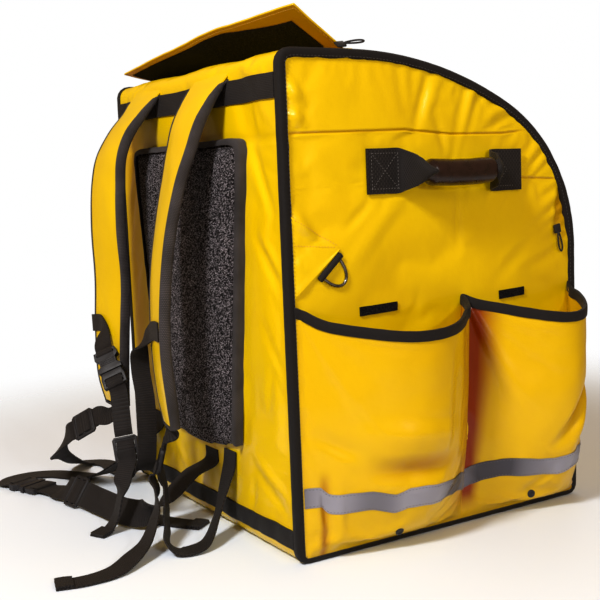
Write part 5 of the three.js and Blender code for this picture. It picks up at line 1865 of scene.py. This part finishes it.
LOWER_RIGHT = [
    ((66, -191.6, 90), (1, 0, 0)), ((66, -193.4, 74), (1, 0.02, 0)), ((70, -203, 52), (0.98, -0.15, 0)),
    ((82, -220, 25), (0.93, -0.36, 0)), ((96, -240, 7.5), (0.93, -0.35, 0)),
    ((100, -256, 3), (0.97, -0.2, 0)), ((96, -270, 3), (0.95, -0.3, 0)),
    ((84, -277, 10), (0.85, -0.45, 0.2)), ((70, -272, 22), (0.8, -0.5, 0)),
    ((51, -263, 40), (0.8, -0.45, -0.2)), ((38, -258, 56), (0.8, -0.4, -0.3)),
]
LOWER_TAIL_RIGHT = [
    ((35, -269, 70), (0.77, -0.5, -0.38)), ((47, -273, 54), (0.85, -0.42, -0.25)),
    ((62, -281, 36), (0.93, -0.2, 0)), ((77, -298, 17), (0.93, 0, 0.2)),
    ((93, -321, 8), (0.88, 0.45, 0.1)), ((107, -346, 3), (0.93, 0.36, 0)),
    ((109, -376, 1.6), (0.99, 0.05, 0)), ((102, -404, 1.4), (0.97, -0.24, 0)),
]
print("lower strap routes ready")

# %% Routes of the waist strap
WAIST_RIGHT = [
    ((22, -191.6, 84), (1, 0, 0)), ((22, -193, 70), (1, 0, 0)), ((18, -217, 58), (0.95, 0.2, 0.1)),
    ((14, -246, 34), (0.75, 0.45, 0.4)), ((4, -268, 20), (0.4, 0.5, 0.75)),
    ((-24, -281, 16.4), (0.1, 0.55, 0.83)), ((-70, -289, 16), (0, 0.55, 0.83)),
]
WAIST_LINK = [((-168, -306, 11), (-0.15, 0.85, 0.5)), ((-184, -304.6, 6.4), (-0.3, 0.93, 0.15))]
WAIST_LEFT = [
    ((-268, -341, 2.4), (-0.1, 1, 0)), ((-285, -333, 1.6), (0.7, 0.7, 0)),
    ((-289, -306, 1.6), (1, -0.1, 0)), ((-276, -281, 1.6), (0.75, -0.66, 0)),
    ((-250, -261, 1.8), (0.45, -0.9, 0)), ((-212, -244, 8), (0.35, -0.92, 0.1)),
    ((-160, -228, 36), (0.5, -0.8, 0.1)), ((-131, -207, 68), (0.9, -0.35, 0.05)),
    ((-122, -193, 86), (1, 0, 0)), ((-121, -191.6, 100), (1, 0, 0)),
]
WAIST_TAIL = [
    ((-112, -291, 12.6), (-0.12, 0.62, 0.78)), ((-101, -281, 8), (-0.2, 0.85, 0.4)),
    ((-86, -270, 3.4), (-0.35, 0.93, 0.08)), ((-50, -257, 1.6), (-0.35, 0.93, 0)),
    ((-4, -240, 1.6), (-0.45, 0.9, 0)), ((36, -213, 1.6), (-0.6, 0.8, 0)),
]
print("waist strap routes ready")

# %% Straps along the routes
WEBS = {
    "chest_tab_left": ([*CHEST_TAB_LEFT, *leads("chest_buckle", SOCKET_END)[::-1]], CHEST_WEB),
    "chest_web_left": (
        [*leads("chest_buckle", PRONG_END), *leads("chest_slide", SLIDE_END)[::-1]], CHEST_WEB),
    "chest_web_right": ([*leads("chest_slide", -SLIDE_END), *CHEST_WEB_RIGHT], CHEST_WEB),
    "chest_tail": ([*face_leads("chest_slide", 1), *CHEST_TAIL], CHEST_WEB),
    "strap_end_left": ([*STRAP_END_LEFT, *leads("lock_left", LOCK_END)[::-1]], LOWER_WEB),
    "strap_end_right": ([*STRAP_END_RIGHT, *leads("lock_right", LOCK_END)[::-1]], LOWER_WEB),
    "lower_web_left": ([*leads("lock_left", -LOCK_END), *LOWER_LEFT], LOWER_WEB),
    "lower_web_right": ([*LOWER_RIGHT, *leads("lock_right", -LOCK_END)[::-1]], LOWER_WEB),
    "lower_tail_right": ([*face_leads("lock_right", 1), *LOWER_TAIL_RIGHT], LOWER_WEB),
    "waist_web_right": ([*WAIST_RIGHT, *leads("waist_slide", -SLIDE_END)[::-1]], WAIST_WEB),
    "waist_link": (
        [*leads("waist_slide", SLIDE_END), *WAIST_LINK, *leads("waist_buckle", PRONG_END)[::-1]], WAIST_WEB),
    "waist_web_left": ([*leads("waist_buckle", SOCKET_END), *WAIST_LEFT], WAIST_WEB),
    "waist_tail": ([*face_leads("waist_slide", -1), *WAIST_TAIL], LOWER_WEB),
}
SOCKET_BAR = (22.5, 31.0, 5.2)
PRONG_BARS = (-19.5, -6.2, 3.9)
SLIDE_BARS = (-9.5, 9.5, 2.9)
WRAPS = {
    "chest_tab_left": [("chest_buckle", CHEST_WEB, *SOCKET_BAR)],
    "chest_web_left": [("chest_buckle", CHEST_WEB, *PRONG_BARS), ("chest_slide", CHEST_WEB, *SLIDE_BARS)],
    "strap_end_left": [("lock_left", LOWER_WEB, *SLIDE_BARS)],
    "strap_end_right": [("lock_right", LOWER_WEB, *SLIDE_BARS)],
    "waist_link": [("waist_buckle", WAIST_WEB, *PRONG_BARS), ("waist_slide", WAIST_WEB, *SLIDE_BARS)],
    "waist_web_left": [("waist_buckle", WAIST_WEB, *SOCKET_BAR)],
}
FOLDED_ENDS = ("chest_tail", "lower_tail_right", "waist_tail")


print("straps:", len(WEBS), "of which sewn over at the end:", len(FOLDED_ENDS))


# %% Wraps and folded ends
def wrap(seat, web, low, high, half):
    """Webbing folded round the bars of a moulding: a rolled strip with a flat oval section."""
    middle, across, along, facing = seat_frame(seat)
    steps = 28

    def place(u, v):
        angle = whole_turn(v, steps)
        c, s = math.cos(angle), math.sin(angle)
        reach = lerp(low, high, 0.5 + 0.5 * math.copysign(abs(c) ** 0.6, c))
        lift = half * math.copysign(abs(s) ** 0.6, s)
        return middle + across * (u - 0.5) * (web - 0.8) + along * reach + facing * lift

    piece = rolled_piece("wrap", 6, steps, place)
    return piece


def folded_end(route, width, length=17.0, lift=1.9):
    """The free end turned over and sewn: a second layer on the last bit of a strap."""
    middle = spline([at for at, across in route])
    rows = np.linspace(0, 1, 200)
    reach = distances([middle(share) for share in rows])
    first = float(np.interp(reach[-1] - length, reach, rows))
    side = unit(route[-1][1])

    def place(u, v):
        spot = middle(lerp(first, 1, v)) + side * (u - 0.5) * width
        return spot + (0, 0, lift + 0.5 * hump(v))

    piece = grid_piece("folded end", 6, 8, place, facing=(0, 0, 1))
    thicken(piece, 1.8, offset=0)
    return piece


print("wrapped straps:", len(WRAPS))

# %% Lay every strap
for node, (route, width) in WEBS.items():
    strap = ribbon(f"{node}_webbing", route, width)
    extras = [wrap(*row) for row in WRAPS.get(node, [])]
    if node in FOLDED_ENDS:
        extras.append(folded_end(route, width))
    dress(join_into(strap, extras), WEBBING, "black_webbing", node)

# %% [markdown]
# ## Zip
# The lid's zip lies just inside the tape: a woven strip with two rows of teeth that mesh. One tooth is a
# small bevelled block. An Array repeats it and a Curve lays the row along the lid, as with the stitches.

# %% Zip tape and teeth
zip_stations = even_stations(
    [*arc_stations(SHOULDER, 0, ARCS_MEET, 24), *arc_stations(LID_ARC, ARCS_MEET, 87, 24)[1:]], 4.0)


def on_lid(x, share, lift):
    k = min(int(share * (len(zip_stations) - 1)), len(zip_stations) - 2)
    w = share * (len(zip_stations) - 1) - k
    y, z, ny, nz = lerp(zip_stations[k], zip_stations[k + 1], w)
    crown = 5 * (1 - (178 / 192.7) ** 2) * hump(share)
    return x, y + ny * (lift + crown), z + nz * (lift + crown)


def tooth_row(path, pitch):
    tooth = new_block((1.3, 3.2, 2.0))
    use_modifier(tooth, "BEVEL", width=0.3 * MM, segments=1)
    return lay_along(tooth, path, pitch)


def zip_strip(label, side):
    def place(u, v):
        return on_lid(side * lerp(177, 193, u), v, 1.2)

    strip = grid_piece(f"zip_tape_{label}", 8, 140, place, facing=(0, 1, 1))
    thicken(strip, 0.8)
    shares = np.linspace(0, 1, 160)
    rows = [tooth_row([on_lid(side * x, share, 2.4) for share in shares], 2.6) for x in (184.2, 186.2)]
    dress(join_into(strip, rows), TAPE, "black_tape", f"zipper_{label}")


for label, side in SIDES.items():
    zip_strip(label, side)

# %% [markdown]
# Both ends of each zip have a slider with a looped pull. The slider is a block that is bevelled, and the
# pull is a flat bar bent to a loop. The right-hand ones stand for CAD plates; the left-hand ones are the
# same pieces mirrored.

# %% Zip pulls
def zip_pull(name, at, along, facing, mirror=1):
    across = np.cross(along, facing)
    turn = np.stack([across, along, facing], axis=1)
    slider = new_block((9, 10, 2.6))
    slider.name = slider.data.name = name
    use_modifier(slider, "BEVEL", width=0.9 * MM, segments=2)
    move_points(slider, points_of(slider) + np.array((0, 5, 0)) * MM)

    def loop_place(u, v):
        t = whole_turn(v, 40)
        a = whole_turn(u, 8)
        middle = np.array((3.4 * math.sin(t) * (0.72 - 0.28 * math.cos(t)), 20 - 11 * math.cos(t), 0.9))
        ahead = unit((3.4 * math.cos(t), 11 * math.sin(t), 0))
        outward = np.array((ahead[1], -ahead[0], 0))
        return middle + 0.95 * (math.cos(a) * outward + math.sin(a) * np.array((0, 0, 1)))

    loop = rolled_piece("zip loop", 8, 40, loop_place)
    join_into(slider, [loop])
    points = points_of(slider) @ turn.T + np.array(at, float) * MM
    points[:, 0] *= mirror
    move_points(slider, points)
    if mirror < 0:
        edit(slider, bpy.ops.mesh.flip_normals)
    return slider


TOP_PULL = {"at": (196, -122, 505), "along": unit((0.1, 1, 0.12)), "facing": unit((0.55, -0.16, 0.82))}
FRONT_PULL = {"at": (202.0, 162, 316), "along": unit((0, 0.2, -1)), "facing": np.array((1.0, 0, 0))}
for node, seat in (("zip_pull_top", TOP_PULL), ("zip_pull_front", FRONT_PULL)):
    dress(zip_pull(f"{node}_right", **seat), PLASTIC, "dark_steel", node)
    dress(zip_pull(f"{node}_left", **seat, mirror=-1), PLASTIC, "dark_steel")

# %% [markdown]
# ## Small sewn things
# Above each pocket a short strip of hook tape closes it, and near the foot each pocket has a drain eyelet.
# Stitch rows along the tape finish the sewing, and all rows of a thread are joined into one piece.

# %% Hook strips
HOOK_STRIPS = {"rear": (-110, -64), "front": (72, 108)}


def hook_strip(label, side, spot, start, stop):
    def place(u, v):
        y = lerp(start, stop, u)
        z = lerp(245, 246.5, u) + lerp(-4.5, 4.5, v)
        return on_side(label, y, z, 1.8 + 0.5 * ripple(y, z, 3, 8))

    strip = grid_piece(f"hook_strip_{spot}_{label}", 26, 6, place, facing=(side, 0, 0))
    thicken(strip, 1.6)
    dress(strip, HOOKS, "black_mesh")


for label, side in SIDES.items():
    for spot, reach in HOOK_STRIPS.items():
        hook_strip(label, side, spot, *reach)


# %% Eyelets
def eyelet(label, spot, y, z):
    u = float(np.interp(y, POCKET_Y, POCKET_REACH))
    point, out = pocket_at[label](u, (z - POCKET_FOOT) / (rim_z(y) - POCKET_FOOT))
    bpy.ops.object.select_all(action="DESELECT")
    bpy.ops.mesh.primitive_torus_add(
        major_segments=32, minor_segments=10, major_radius=3.4 * MM, minor_radius=1.3 * MM)
    ring = bpy.context.object
    ring.name = ring.data.name = f"eyelet_{spot}_{label}"
    out = unit(out + (math.copysign(0.6, out[0]), 0, 0))
    turn = np.array(Vector(out).to_track_quat("Z", "Y").to_matrix())
    bpy.ops.mesh.primitive_cylinder_add(vertices=24, radius=3.2 * MM, depth=0.6 * MM)
    hole = bpy.context.object
    use_modifier(hole, "BEVEL", width=0.2 * MM, segments=2, limit_method="ANGLE")
    join_into(ring, [hole])
    move_points(ring, (points_of(ring) * (1, 1, 0.7)) @ turn.T + (point + out * 0.5) * MM)
    dress(ring, PLASTIC, "dark_steel")


for label in pockets:
    eyelet(label, "rear", -87, 25)
    eyelet(label, "front", 99, 25)


# %% Sewing along the tape
def tape_sewing(side):
    path = []
    for y, z, ny, nz in LOOP[::2]:
        length = math.hypot(ny, nz)
        inset = 6.6 * tape_share(nz / length)
        path.append((side * 201.75, y - inset * ny / length, z - inset * nz / length))
    return path


for side in (1, -1):
    stitch("black", tape_sewing(side), pitch=4.0, length=2.6, width=0.8)
for name, rows in stitch_rows.items():
    sewing = join_into(rows[0], rows[1:])
    sewing.name = sewing.data.name = f"sewing_{name}"
    dress(sewing, *THREADS[name])
